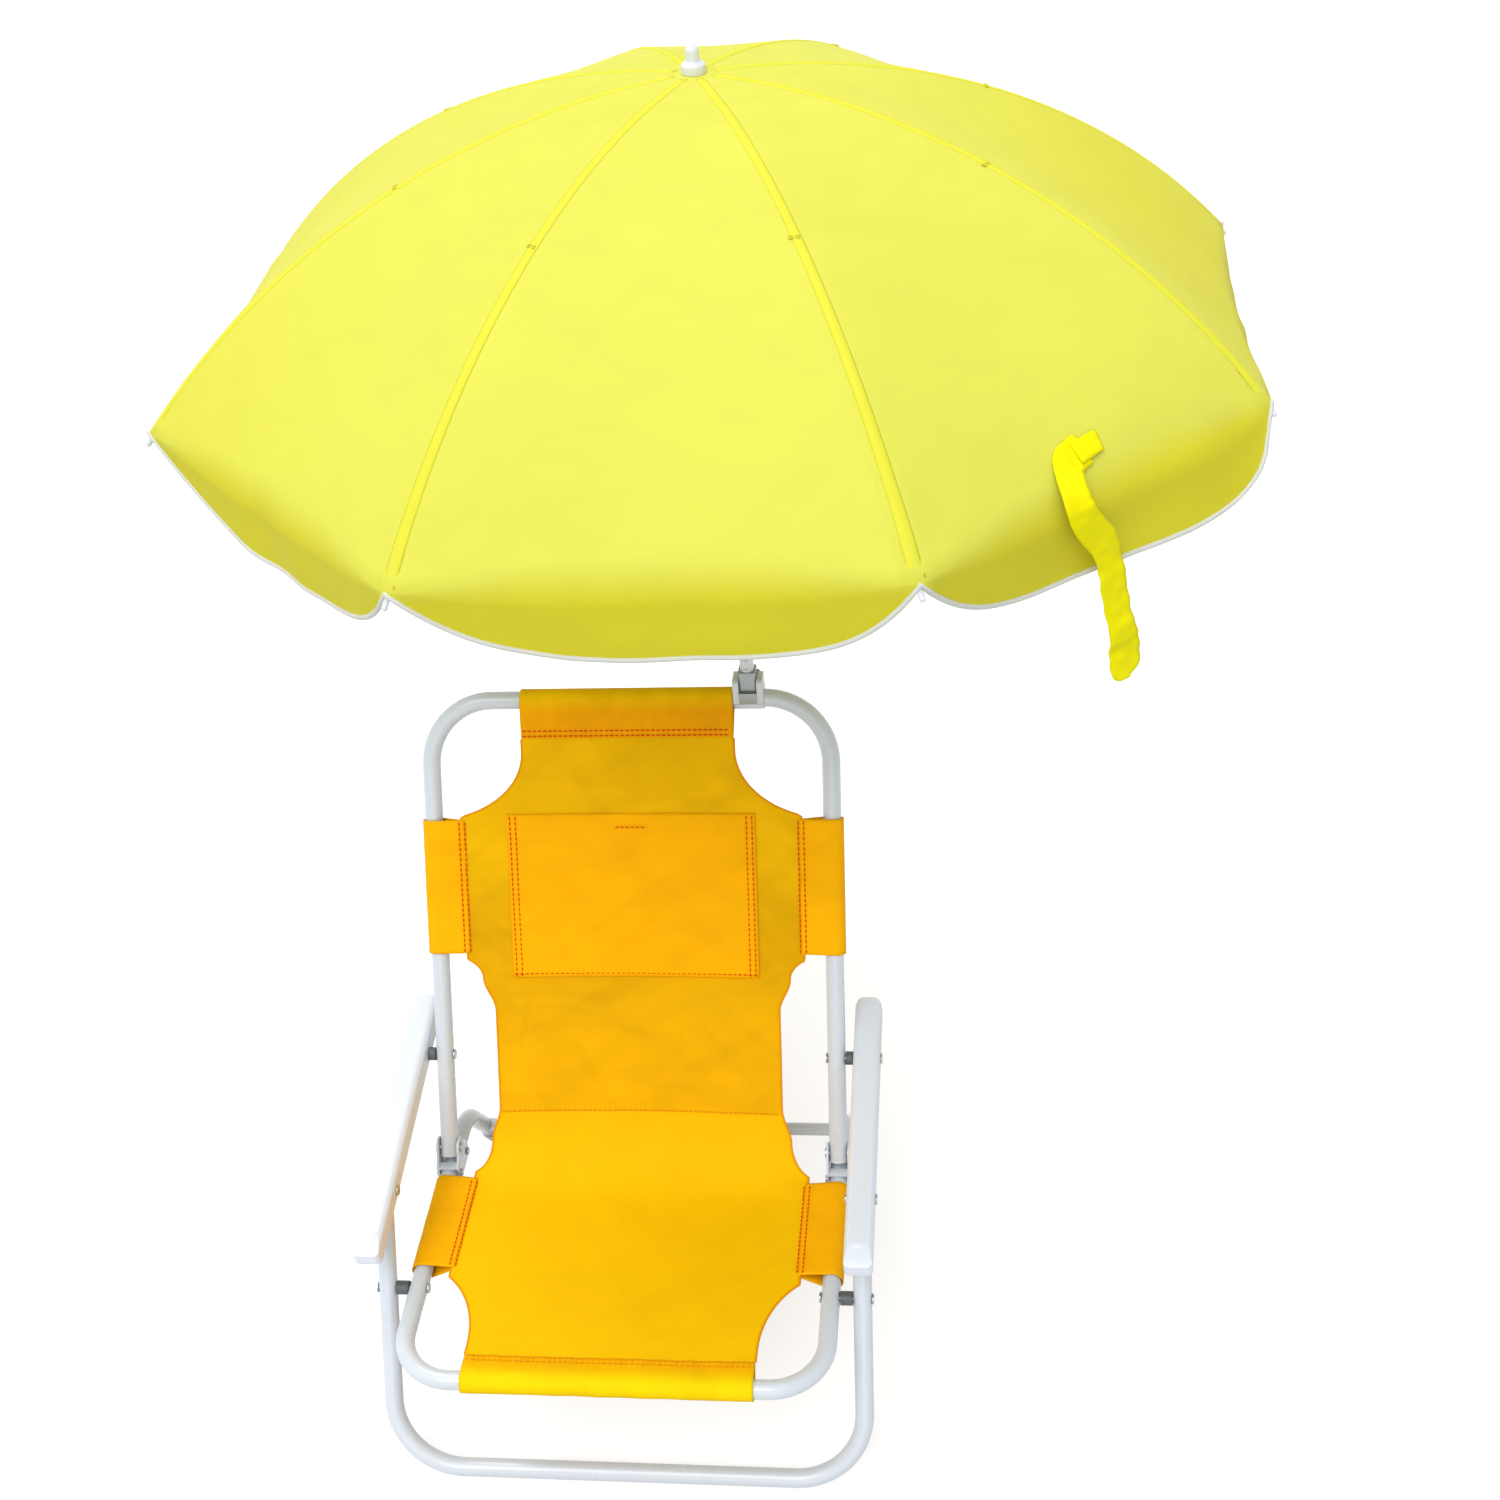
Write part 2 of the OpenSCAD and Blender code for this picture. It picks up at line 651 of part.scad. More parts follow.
module sling_seat() {
    rows = concat([0, 10], rows_to(front_flare[0], front_flare[1], 6), [front_flare[1], 135, 168,
        seat_run - gap / 2]);
    color(amber) at_seat() {
        sheet(rows, widths(rows), -cloth_t / 2, cloth_t / 2);
        sleeve(-sling_front_half, sling_front_half, -seat_front, 0);
        side_sleeve(seat_sleeve[0] - seat_front, seat_sleeve[1] - seat_front);
    }
}

module sling_crease() {
    rear = seat_sleeve[1];
    rows = concat([seat_run + gap / 2, rear - 10, rear, rear + 1.5, rear + 4, rear + 8, rear + 14,
        rear + 21, rear + waist_from], [seat_run + crease_run - gap / 2]);
    halves = [for (w = widths(rows)) min(w, body_x - sleeve_out - gap)];
    color(amber) at_seat() sheet(rows, halves, -cloth_t / 2, cloth_t / 2);
}

module sling_back() {
    color(mustard) at_seat() sheet(back_rows, widths(back_rows), -cloth_t / 2, cloth_t / 2);
    color(amber) at_back() {
        sleeve(-sling_top_half, sling_top_half, 0, back_len);
        rotate([-90, 0, 0]) side_sleeve(back_sleeve[0] - back_len, back_sleeve[1] - back_len);
    }
}

module back_pocket() {
    rows = [for (i = [0:6]) sling_len - pocket_top - pocket_h + pocket_h * i / 6];
    halves = [for (s = rows) pocket_w / 2];
    color(amber) at_seat()
        sheet(rows, halves, cloth_t / 2 + pocket_gap, cloth_t / 2 + pocket_gap + cloth_t, 0, 8);
}

// Umbrella clamp: a moulded body over the top bar and a rounded jaw under it, drawn together behind
module clamp_ears() {
    translate([-clamp_half + 4, 0, clamp_split])
        cube([2 * clamp_half - 8, ear_to, ear_h - clamp_split]);
}

module clamp_bores() {
    bar(-clamp_half - 1, clamp_half + 1, tube_d + 2 * run);
    translate([0, screw_y, 0]) cylinder(d = screw_d + 2 * run, h = 4 * ear_h, center = true);
}

module clamp_body() {
    cheek = clamp_half - socket_half - gap;
    color(nylon) at_clamp() difference() {
        union() {
            translate([-clamp_half, -clamp_r, clamp_split])
                cube([2 * clamp_half, 2 * clamp_r, clamp_r - clamp_split]);
            for (x = [-clamp_half, clamp_half - cheek]) {
                translate([x, -clamp_r, clamp_split])
                    cube([cheek, clamp_r + socket_half, cheek_to - clamp_split - 4]);
                translate([x, -clamp_r + 4, clamp_split])
                    cube([cheek, clamp_r + socket_half - 4, cheek_to - clamp_split]);
                translate([x, -clamp_r + 4, cheek_to - 4]) bar(0, cheek, 8);
            }
            clamp_ears();
        }
        clamp_bores();
    }
}

module clamp_jaw() {
    color(nylon) at_clamp() difference() {
        union() {
            bar(-clamp_half, clamp_half, 2 * jaw_r);
            mirror([0, 0, 1]) clamp_ears();
        }
        translate([-clamp_half - 1, -2 * jaw_r, -clamp_split])
            cube([2 * clamp_half + 2, 3 * jaw_r + ear_to, 2 * jaw_r]);
        clamp_bores();
    }
}

// Zinc socket for the pole, with a tongue down the clamp's front
module clamp_socket() {
    r = 2;
    inner = socket_half - r;
    color(zinc) at_clamp() difference() {
        union() {
            for (x = [-1, 1]) for (y = [-1, 1])
                translate([x * inner, y * inner, socket_base])
                    cylinder(r = r, h = socket_top - socket_base);
            translate([-socket_half, -inner, socket_base])
                cube([2 * socket_half, 2 * inner, socket_top - socket_base]);
            translate([-inner, -socket_half, socket_base])
                cube([2 * inner, 2 * socket_half, socket_top - socket_base]);
            translate([-socket_half, -clamp_r - 1.7, socket_base])
                cube([2 * socket_half, clamp_r + 1.7, socket_floor - socket_base]);
            translate([-socket_half, -clamp_r - 1.7, tongue_foot])
                cube([2 * socket_half, 1.6, socket_floor - tongue_foot]);
        }
        translate([0, 0, socket_floor]) cylinder(d = pole_lower_d + 2 * run, h = socket_top);
    }
}

module clamp_screw() {
    color(steel) at_clamp() translate([0, screw_y, 0]) {
        translate([0, 0, -ear_h - 3]) cylinder(d = screw_d, h = 2 * ear_h + 12);
        translate([0, 0, -ear_h - 3]) cylinder(d = 2 * screw_d, h = 3 - run, $fn = 6);
    }
}

module clamp_knob() {
    color(rubber) at_clamp() translate([0, screw_y, ear_h + run]) difference() {
        union() {
            cylinder(d = 10, h = 11);
            for (side = [-1, 1]) translate([side * 5.5, 0, clamp_r - ear_h]) rotate([90, 0, 0])
                translate([0, 4, -1.5]) cylinder(d = 6.5, h = 3);
        }
        translate([0, 0, -1]) cylinder(d = screw_d + 2 * run, h = 20);
    }
}

// Two-section pole
module pole_lower() {
    color(white) at_clamp() difference() {
        translate([0, 0, pole_foot]) cylinder(d = pole_lower_d, h = lower_top - pole_foot);
        translate([0, 0, pole_foot - 1]) cylinder(d = pole_d + 2 * run, h = lower_top);
        for (z = stud_holes) translate([0, 0, z]) rotate([90, 0, 0])
            cylinder(d = screw_d, h = 2 * pole_lower_d, center = true);
        translate([0, 0, collar_z]) bar(0, pole_lower_d, screw_d + 2 * run);
    }
}

module height_collar() {
    color(nylon) at_clamp() difference() {
        union() {
            translate([0, 0, lower_top - collar_h]) cylinder(r = collar_r, h = collar_h + 1.5);
            translate([0, 0, collar_z]) bar(0, collar_r + 1.5, 8);
        }
        translate([0, 0, lower_top - collar_h - 1])
            cylinder(d = pole_lower_d + 2 * run, h = collar_h + 1.1);
        translate([0, 0, lower_top]) cylinder(d = pole_d + 2 * run, h = 5);
        translate([0, 0, collar_z]) bar(0, 2 * collar_r, screw_d + 2 * run);
    }
}

module collar_screw() {
    color(rubber) at_clamp() translate([0, 0, collar_z]) {
        bar(pole_d / 2 + gap, collar_r + 4, screw_d);
        bar(collar_r + 1.8, collar_r + 9, 9);
        for (a = [0:60:300]) rotate([a, 0, 0]) translate([0, 0, 4.2])
            bar(collar_r + 2.6, collar_r + 9, 2);
    }
}

module pole_upper() {
    top = crown_z + hub_over;
    color(white) at_clamp() difference() {
        translate([0, 0, upper_foot]) cylinder(d = pole_d, h = top - upper_foot);
        translate([0, 0, upper_foot - 1]) cylinder(d = pole_d - 2 * pole_wall, h = top);
    }
}

// Ring of slots for hinged blades, open above, below and outwards
module blade_slots(z1, z2) {
    for (n = [1:rib_count]) at_rib(n)
        translate([slot_from, -slot_w / 2, z1 - 1]) cube([hub_r, slot_w, z2 - z1 + 2]);
}

module runner() {
    color(nylon) at_clamp() difference() {
        union() {
            translate([0, 0, runner_z - runner_under])
                cylinder(r = runner_r, h = runner_under + flange_half);
            translate([0, 0, runner_z - flange_half]) cylinder(r = hub_r - 1, h = 2 * flange_half);
        }
        translate([0, 0, runner_z - 2 * runner_under])
            cylinder(d = pole_d + 4 * run, h = 4 * runner_under);
        blade_slots(runner_z - flange_half, runner_z + flange_half);
        for (a = [0, 90]) rotate([0, 0, a])
            translate([-runner_r - 1, -0.5, runner_z - runner_under - 1])
                cube([2 * runner_r + 2, 1, runner_under - flange_half]);
    }
}

module ring_wire(d) {
    translate([0, 0, crown_z]) rotate_extrude($fn = 96)
        translate([hinge_ring_r, 0]) circle(d = d, $fn = 32);
}

module crown() {
    color(nylon) at_clamp() difference() {
        translate([0, 0, crown_z - hub_under]) cylinder(r = hub_r, h = hub_under + hub_over);
        translate([0, 0, crown_z - 20]) cylinder(d = pole_d + 2 * run, h = 40);
        blade_slots(crown_z - hub_under, crown_z + hub_over);
        ring_wire(ring_wire_d + 2 * run);
    }
}

module crown_wire() {
    color(steel) at_clamp() ring_wire(ring_wire_d);
}

module pole_cap() {
    z = rim_up + dome_h + 0.1;
    color(nylon) at_clamp() translate([0, 0, z]) {
        translate([0, 0, -14]) cylinder(d = pole_d - 2 * pole_wall - 2 * run, h = 15);
        cylinder(d = 18, h = 6);
        translate([0, 0, 6]) cylinder(d1 = 18, d2 = 13, h = 2.5);
        translate([0, 0, 6]) cylinder(d = 10, h = 9);
        translate([0, 0, 15]) sphere(d = 10);
    }
}

// Flat blade with an eye at the origin, running along +X
module blade(len) {
    rotate([90, 0, 0]) translate([0, 0, -blade_t / 2]) linear_extrude(blade_t) difference() {
        union() {
            circle(r = eye_r);
            translate([0, -1.6]) square([len, 3.2]);
        }
        circle(d = eye_bore);
    }
}

// Rib in its own plane: eye on the crown wire, bent wire, lug for the stretcher
module rib(n) {
    start = rib_foot_angle + blade_len / rib_rho * 180 / PI;
    color(steel) at_clamp() at_rib(n) difference() {
        union() {
            translate([hinge_ring_r, 0, crown_z]) rotate([0, start / 2, 0]) blade(blade_len + 2);
            translate([0, 0, dome_mid]) rotate([90, 0, 0]) rotate([0, 0, 90 - rim_angle])
                bend(rib_rho, rim_angle - start, wire_d);
            translate([stretcher_at, 0, joint_z]) rotate([0, joint_angle, 0]) {
                rotate([90, 0, 0]) cylinder(r = lug_r, h = blade_t, center = true);
                translate([-lug_r, -blade_t / 2, 0]) cube([2 * lug_r, blade_t, lug_drop]);
            }
        }
        translate([stretcher_at, 0, joint_z]) rotate([90, 0, 0])
            cylinder(d = pin_d + 2 * run, h = 10, center = true);
    }
}

// Stretcher in its rib's plane: eye in the runner's slot, wire, fork and pin on the rib's lug
module stretcher(n) {
    ear_in = blade_t / 2 + 0.25;
    fork = 9;
    color(steel) at_clamp() at_rib(n) translate([hinge_ring_r, 0, runner_z])
        rotate([0, -stretcher_rise, 0]) {
            blade(blade_len);
            translate([blade_len - 2, 0, 0]) bar(0, stretcher_len - blade_len - 2, wire_d);
            translate([stretcher_len, 0, 0]) {
                for (side = [-1, 1]) translate([0, side * (ear_in + ear_t / 2), 0]) {
                    rotate([90, 0, 0]) cylinder(r = eye_r, h = ear_t, center = true);
                    translate([-fork, -ear_t / 2, -1.6]) cube([fork, ear_t, 3.2]);
                }
                translate([-fork, -ear_in - ear_t, -1.6])
                    cube([fork - lug_r - 1, 2 * (ear_in + ear_t), 3.2]);
                rotate([90, 0, 0]) cylinder(d = pin_d, h = 2 * (ear_in + ear_t), center = true);
            }
        }
}

// Moulded tip over the rib's end, which holds the canopy's corner
module rib_tip(n) {
    color(nylon) at_clamp() at_rib(n)
        translate([rib_rho * sin(rim_angle), 0, dome_mid + rib_rho * cos(rim_angle)])
            rotate([0, rim_angle, 0]) difference() {
                union() {
                    bar(-tip_on, tip_len - tip_on, tip_d);
                    translate([tip_len - tip_on, 0, 0]) sphere(d = tip_d);
                }
                bar(-tip_on - 1, 0.2, wire_d + 2 * run);
            }
}

// Canopy: dome of eight gores, straight between the ribs, with a hem that drops under the corners
gore_parts = [0, 0.05, 0.2, 0.5, 0.8, 0.95];
dome_rows = 8;
hem_rows = 2;
cap_hole_r = 6;

function gore_cut(part) = cos(half_step) / cos(half_step - rib_step * min(part, 1 - part));
function gore_fall(part) = hem_drop * (1 - pow(abs(2 * part - 1), 3));

function canopy_point(az, part, row, inset) =
    let (first = asin(cap_hole_r / dome_rho), rho = dome_rho - inset,
        a = row <= dome_rows ? first + (rim_angle - first) * row / dome_rows : rim_angle,
        drop = row <= dome_rows ? 0 : gore_fall(part) * (row - dome_rows) / hem_rows,
        r = (rho * sin(a) - drop * 0.12) * gore_cut(part))
    [r * cos(az), r * sin(az), dome_mid + rho * cos(a) - drop];

module canopy() {
    columns = rib_count * len(gore_parts);
    rows = dome_rows + hem_rows;
    points = [for (inset = [0, canopy_t]) for (row = [0:rows]) for (c = [0:columns - 1])
        let (g = floor(c / len(gore_parts)), part = gore_parts[c % len(gore_parts)])
        canopy_point(half_step + rib_step * (g + part), part, row, inset)];
    function at(k, i, j) = k * (rows + 1) * columns + i * columns + j % columns;
    faces = concat(
        [for (i = [0:rows - 1]) for (j = [0:columns - 1]) for (f = [0, 1])
            f == 0 ? [at(0, i, j), at(0, i, j + 1), at(0, i + 1, j + 1)]
            : [at(0, i, j), at(0, i + 1, j + 1), at(0, i + 1, j)]],
        [for (i = [0:rows - 1]) for (j = [0:columns - 1]) for (f = [0, 1])
            f == 0 ? [at(1, i, j), at(1, i + 1, j + 1), at(1, i, j + 1)]
            : [at(1, i, j), at(1, i + 1, j), at(1, i + 1, j + 1)]],
        [for (j = [0:columns - 1]) for (f = [0, 1])
            f == 0 ? [at(0, 0, j), at(1, 0, j), at(1, 0, j + 1)]
            : [at(0, 0, j), at(1, 0, j + 1), at(0, 0, j + 1)]],
        [for (j = [0:columns - 1]) for (f = [0, 1])
            f == 0 ? [at(0, rows, j), at(1, rows, j + 1), at(1, rows, j)]
            : [at(0, rows, j), at(0, rows, j + 1), at(1, rows, j + 1)]]);
    color(lemon) at_clamp() polyhedron(points, faces);
}

// Tie strap, sewn flat to a gore near its hem, folded over and hanging past the hem
// Its middle line from the middle of the gore's rim, as [out, along, up], and its free end
strap_az = -45;
strap_t = 0.8;
strap_rim = [canopy_r * cos(half_step), 0, rim_up];
strap_lie = [[-19.2, 12, 24], [-14.7, 0, 19.5], [-10.2, -14, 15], [-4.2, -24, 8], [2.8, -27, -4],
    [3.3, -20, -20], [2.3, -9, -34], [1.8, -2, -50]];
strap_fall = [0.1, 0.14, -0.985];
strap_path = concat([for (p = strap_lie) strap_rim + p],
    [for (i = [1:5]) strap_rim + strap_lie[7] + strap_fall * strap_hang * i / 5]);

function unit(v) = v / norm(v);
function strap_along(i) = unit(strap_path[min(i + 1, len(strap_path) - 1)] - strap_path[max(i - 1, 0)]);
function strap_out(i) = strap_path[i][2] > rim_up - 1 ? [0.75, 0, 0.66] : [1, 0, 0];

module tie_strap() {
    n = len(strap_path) - 1;
    points = [for (face = [0, 1]) for (i = [0:n]) for (side = [-1, 1])
        strap_path[i] + face * strap_t * strap_out(i)
            + side * strap_w / 2 * unit(cross(strap_along(i), strap_out(i)))];
    function at(k, i, j) = k * (n + 1) * 2 + i * 2 + j;
    faces = concat(
        [for (i = [0:n - 1]) for (f = [0, 1])
            f == 0 ? [at(0, i, 0), at(0, i, 1), at(0, i + 1, 1)]
            : [at(0, i, 0), at(0, i + 1, 1), at(0, i + 1, 0)]],
        [for (i = [0:n - 1]) for (f = [0, 1])
            f == 0 ? [at(1, i, 0), at(1, i + 1, 1), at(1, i, 1)]
            : [at(1, i, 0), at(1, i + 1, 0), at(1, i + 1, 1)]],
        [for (i = [0:n - 1]) for (f = [0, 1])
            f == 0 ? [at(0, i, 0), at(0, i + 1, 0), at(1, i + 1, 0)]
            : [at(0, i, 0), at(1, i + 1, 0), at(1, i, 0)]],
        [for (i = [0:n - 1]) for (f = [0, 1])
            f == 0 ? [at(0, i, 1), at(1, i + 1, 1), at(0, i + 1, 1)]
            : [at(0, i, 1), at(1, i, 1), at(1, i + 1, 1)]],
        [[at(0, 0, 0), at(1, 0, 0), at(1, 0, 1)], [at(0, 0, 0), at(1, 0, 1), at(0, 0, 1)],
            [at(0, n, 0), at(1, n, 1), at(1, n, 0)], [at(0, n, 0), at(0, n, 1), at(1, n, 1)]]);
    color(lemon) at_clamp() rotate([0, 0, strap_az]) polyhedron(points, faces);
}

in_row() seat_frame();
in_row() rear_crossbar();
in_row() rear_feet();
in_row() hinge_brackets();
in_row() back_hinge_rivets();
in_row() leg_pivot_spacers();
in_row() leg_pivot_rivets();
in_row() sling_seat();
in_row() sling_crease();
in_row() back_frame();
in_row() back_end_plugs();
in_row() arm_spacers();
in_row() arm_rear_rivets();
in_row() sling_back();
in_row() back_pocket();
in_row() leg_frame();
in_row() arm_front_rivets();
in_row() arm_front_washers();
in_row() left_armrest();
in_row() right_armrest();
in_row() clamp_body();
in_row() clamp_jaw();
in_row() clamp_socket();
in_row() clamp_screw();
in_row() clamp_knob();
in_row() pole_lower();
in_row() height_collar();
in_row() collar_screw();
in_row() pole_upper();
in_row() runner();
in_row() crown();
in_row() crown_wire();
in_row() pole_cap();
in_row() canopy();
in_row() tie_strap();
for (n = [1:rib_count]) {
    in_row() rib(n);
    in_row() stretcher(n);
    in_row() rib_tip(n);
}
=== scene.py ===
import json
from math import acos, asin, atan2, cos, exp, hypot, pi, radians, sin, sqrt, tan
import bmesh
import bpy
from mathutils import Matrix, Vector, noise

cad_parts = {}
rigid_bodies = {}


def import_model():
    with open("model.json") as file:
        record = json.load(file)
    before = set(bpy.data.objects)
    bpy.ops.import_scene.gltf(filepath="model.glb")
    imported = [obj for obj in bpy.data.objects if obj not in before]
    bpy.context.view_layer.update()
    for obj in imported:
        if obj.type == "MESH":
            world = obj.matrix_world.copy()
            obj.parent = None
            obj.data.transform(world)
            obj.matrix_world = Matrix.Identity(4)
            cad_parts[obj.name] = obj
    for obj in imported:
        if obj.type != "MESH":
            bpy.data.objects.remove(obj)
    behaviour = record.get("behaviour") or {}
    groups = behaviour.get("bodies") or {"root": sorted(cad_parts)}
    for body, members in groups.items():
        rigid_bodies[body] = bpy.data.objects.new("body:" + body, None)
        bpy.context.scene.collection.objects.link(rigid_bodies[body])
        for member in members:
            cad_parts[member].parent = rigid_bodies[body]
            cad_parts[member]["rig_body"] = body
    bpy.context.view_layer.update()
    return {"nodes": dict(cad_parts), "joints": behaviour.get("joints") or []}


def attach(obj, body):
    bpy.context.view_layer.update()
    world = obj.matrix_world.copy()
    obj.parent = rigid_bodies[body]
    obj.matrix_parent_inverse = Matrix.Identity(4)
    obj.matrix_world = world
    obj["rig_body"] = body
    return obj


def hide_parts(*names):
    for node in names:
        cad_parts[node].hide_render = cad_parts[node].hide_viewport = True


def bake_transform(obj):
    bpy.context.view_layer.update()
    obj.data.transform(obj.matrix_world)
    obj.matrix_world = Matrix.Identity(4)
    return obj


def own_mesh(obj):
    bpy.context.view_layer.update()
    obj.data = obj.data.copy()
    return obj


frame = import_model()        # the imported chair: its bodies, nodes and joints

mm = 0.001
scene = bpy.context.scene
jointAt = {j["name"]: j for j in frame["joints"]}
hingeAt = Vector(jointAt["back_fold"]["pos_m"])
seatPivotAt = Vector(jointAt["leg_fold"]["pos_m"])
topBarAt = Vector(jointAt["clamp_tilt"]["pos_m"])
poleUp = Vector(jointAt["pole_turn"]["axis"])
midX = (jointAt["left_arm_fold"]["pos_m"][0] + jointAt["right_arm_fold"]["pos_m"][0]) / 2
print("frame loaded,", len(frame["nodes"]), "nodes")


def show(name, data):    # an object in the scene
    shown = bpy.data.objects.new(name, data)
    scene.collection.objects.link(shown)
    return shown


def newNode(tree, kind, inputs=None, **settings):    # a shader node, its inputs set or linked
    node = tree.nodes.new("ShaderNode" + kind)
    for key, value in settings.items():
        setattr(node, key, value)
    for socket, value in (inputs or {}).items():
        if isinstance(value, bpy.types.NodeSocket):
            tree.links.new(value, node.inputs[socket])
        else:
            node.inputs[socket].default_value = value
    return node


def addNode(tree, kind, inputs=None, **settings):    # the same, for its outputs
    return newNode(tree, kind, inputs, **settings).outputs


def groupNode(tree, group, **inputs):
    return addNode(tree, "Group", inputs, node_tree=group)


def mathNode(tree, operation, a, b=None):
    inputs = {0: a} if b is None else {0: a, 1: b}
    return addNode(tree, "Math", inputs, operation=operation)[0]


def newMaterial(name, inputs):    # a material, with the inputs that are one number all over
    material = bpy.data.materials.new(name)
    material.use_nodes = True
    shader = material.node_tree.nodes["Principled BSDF"]
    for label, value in inputs.items():
        shader.inputs[label].default_value = value
    return material, material.node_tree, shader


# stage, light and camera
stageSet = {
    "floorHalf": 9.0, "floorGray": 0.45, "floorRough": 0.9, "floorGlow": 0.66, "worldLight": 0.72,
    "sunSpread": 35,
    "suns": {    # strength, and the side it comes from
        "keySun": (1.31, (-0.22, -0.55, 1.0)),
        "fillSun": (1.35, (-0.15, 0.40, 1.0)),
        "frontSun": (0.36, (0.08, -1.0, 0.32)),
    },
}
cameraSet = {
    "focal": 1975.3, "imageWidth": 1500, "sensor": 36.0, "reach": 60,
    "barAhead": 0.239026,               # the floor bar, in front of the back's hinge
    "place": (0.307, -0.788, 1.620),    # from the middle of the floor bar
    "yaw": -9.165, "pitch": 43.257, "roll": -6.756,
}
white = (1, 1, 1, 1)


def whiteToCamera(tree):    # 1 where the camera sees it, straight, in a reflection or through glass
    path = addNode(tree, "LightPath")
    seen = mathNode(tree, "MAXIMUM", path["Is Camera Ray"], path["Is Glossy Ray"])
    return mathNode(tree, "MAXIMUM", seen, path["Is Transmission Ray"])


def makeWorld():
    world = bpy.data.worlds.new("studio")
    world.use_nodes = True
    tree = world.node_tree
    tree.nodes.clear()
    light = addNode(tree, "Background", {"Color": white, "Strength": stageSet["worldLight"]})
    shown = addNode(tree, "Background", {"Color": white, "Strength": 1.0})
    mix = addNode(tree, "MixShader", {0: whiteToCamera(tree), 1: light[0], 2: shown[0]})
    addNode(tree, "OutputWorld", {0: mix[0]})
    scene.world = world


def makeFloor():
    bm = bmesh.new()
    bmesh.ops.create_grid(bm, x_segments=2, y_segments=2, size=stageSet["floorHalf"])
    mesh = bpy.data.meshes.new("floor")
    bm.to_mesh(mesh)
    bm.free()
    material, tree, shader = newMaterial("paleFloor", {
        "Base Color": (*[stageSet["floorGray"]] * 3, 1), "Roughness": stageSet["floorRough"],
        "Specular IOR Level": 0.0})
    strength = mathNode(tree, "MULTIPLY", whiteToCamera(tree), stageSet["floorGlow"])
    glow = addNode(tree, "Emission", {"Color": white, "Strength": strength})
    both = addNode(tree, "AddShader", {0: shader.outputs[0], 1: glow[0]})
    tree.links.new(both[0], tree.nodes["Material Output"].inputs["Surface"])
    mesh.materials.append(material)
    show("floor", mesh)


def makeSun(name, strength, fromSide):
    data = bpy.data.lights.new(name, "SUN")
    data.energy = strength
    data.angle = radians(stageSet["sunSpread"])
    show(name, data).rotation_euler = Vector(fromSide).to_track_quat("Z", "Y").to_euler()


def makeCamera():
    yaw, pitch, roll = (radians(cameraSet[k]) for k in ("yaw", "pitch", "roll"))
    ahead = Vector((sin(yaw) * cos(pitch), cos(yaw) * cos(pitch), -sin(pitch)))
    level = Vector((cos(yaw), -sin(yaw), 0))
    upright = level.cross(ahead)
    right = level * cos(roll) + upright * sin(roll)
    up = upright * cos(roll) - level * sin(roll)
    data = bpy.data.cameras.new("camera")
    data.sensor_width = cameraSet["sensor"]
    data.lens = cameraSet["focal"] / cameraSet["imageWidth"] * cameraSet["sensor"]
    data.clip_end = cameraSet["reach"]
    camera = show("camera", data)
    barMiddle = Vector((midX, hingeAt.y - cameraSet["barAhead"], 0))
    camera.matrix_world = (Matrix.Translation(barMiddle + Vector(cameraSet["place"]))
                           @ Matrix((right, up, -ahead)).transposed().to_4x4())
    scene.camera = camera


scene.view_settings.view_transform = "Standard"
makeWorld()
makeFloor()
for sunName, (strength, fromSide) in stageSet["suns"].items():
    makeSun(sunName, strength, fromSide)
makeCamera()
print("stage and camera made")


# shader groups that the materials share
weaveSet = {"over": 0.5, "threadMore": 0.14, "gapShade": 0.89}
toneAndShadeSet = {"detail": 4, "hardScale": 14.0, "clothScale": 9.0}
grainSet = {"detail": 3, "smearScale": 35, "smearDetail": 5, "hardSpread": 0.08, "clothSpread": 0.1,
            "clothScale": 300.0, "coatRough": 0.08, "hardStrength": 0.3, "clothStrength": 0.5}
# painted crease shade: dark slanting lines in a slightly lighter field
creaseShadeSet = {
    "lays": ((0.7, 0.07, 0.26, 3.0), (-0.95, 0.06, 0.3, 8.0), (1.45, 0.05, 0.2, 14.0)),    # slant, wide, long, where
    "detail": 2, "distortion": 0.35, "lineHalf": 0.1, "lineDark": -1.0, "fieldLight": 0.25,
}


def newGroup(name, inputs, outputs):    # an input's kind follows from its value, an output's from its name
    group = bpy.data.node_groups.new(name, "ShaderNodeTree")
    for label, value in inputs.items():
        kind = "Vector" if value is None else "Float" if isinstance(value, float) else "Color"
        socket = group.interface.new_socket(name=label, in_out="INPUT", socket_type="NodeSocket" + kind)
        if value is not None:
            socket.default_value = value
    for label in outputs:
        kind = "Color" if label == "Color" else "Float"
        group.interface.new_socket(name=label, in_out="OUTPUT", socket_type="NodeSocket" + kind)
    return group, group.nodes.new("NodeGroupInput").outputs, group.nodes.new("NodeGroupOutput").inputs


def swingNode(tree, cloud, amount, middle):    # a noise made to swing about a middle value
    centred = mathNode(tree, "SUBTRACT", cloud["Fac"], 0.5)
    return mathNode(tree, "ADD", mathNode(tree, "MULTIPLY", centred, amount), middle)


def weaveGroupTree():    # two crossing sets of threads, one over the other in turn
    group, source, out = newGroup("plainWeave", {"Vector": None, "Threads": 900.0}, ["Height", "Gap"])
    split = addNode(group, "SeparateXYZ", {0: source["Vector"]})
    sides = []
    for way in (0, 1):
        turns = mathNode(group, "MULTIPLY", split[way], source["Threads"])
        sides.append(mathNode(group, "SINE", mathNode(group, "MULTIPLY", turns, pi)))
    cross = mathNode(group, "MULTIPLY", *sides)
    height = mathNode(group, "ADD", mathNode(group, "MULTIPLY", cross, weaveSet["over"]), weaveSet["over"])
    gap = mathNode(group, "MINIMUM", *[mathNode(group, "ABSOLUTE", side) for side in sides])
    group.links.new(height, out["Height"])
    group.links.new(gap, out["Gap"])
    return group


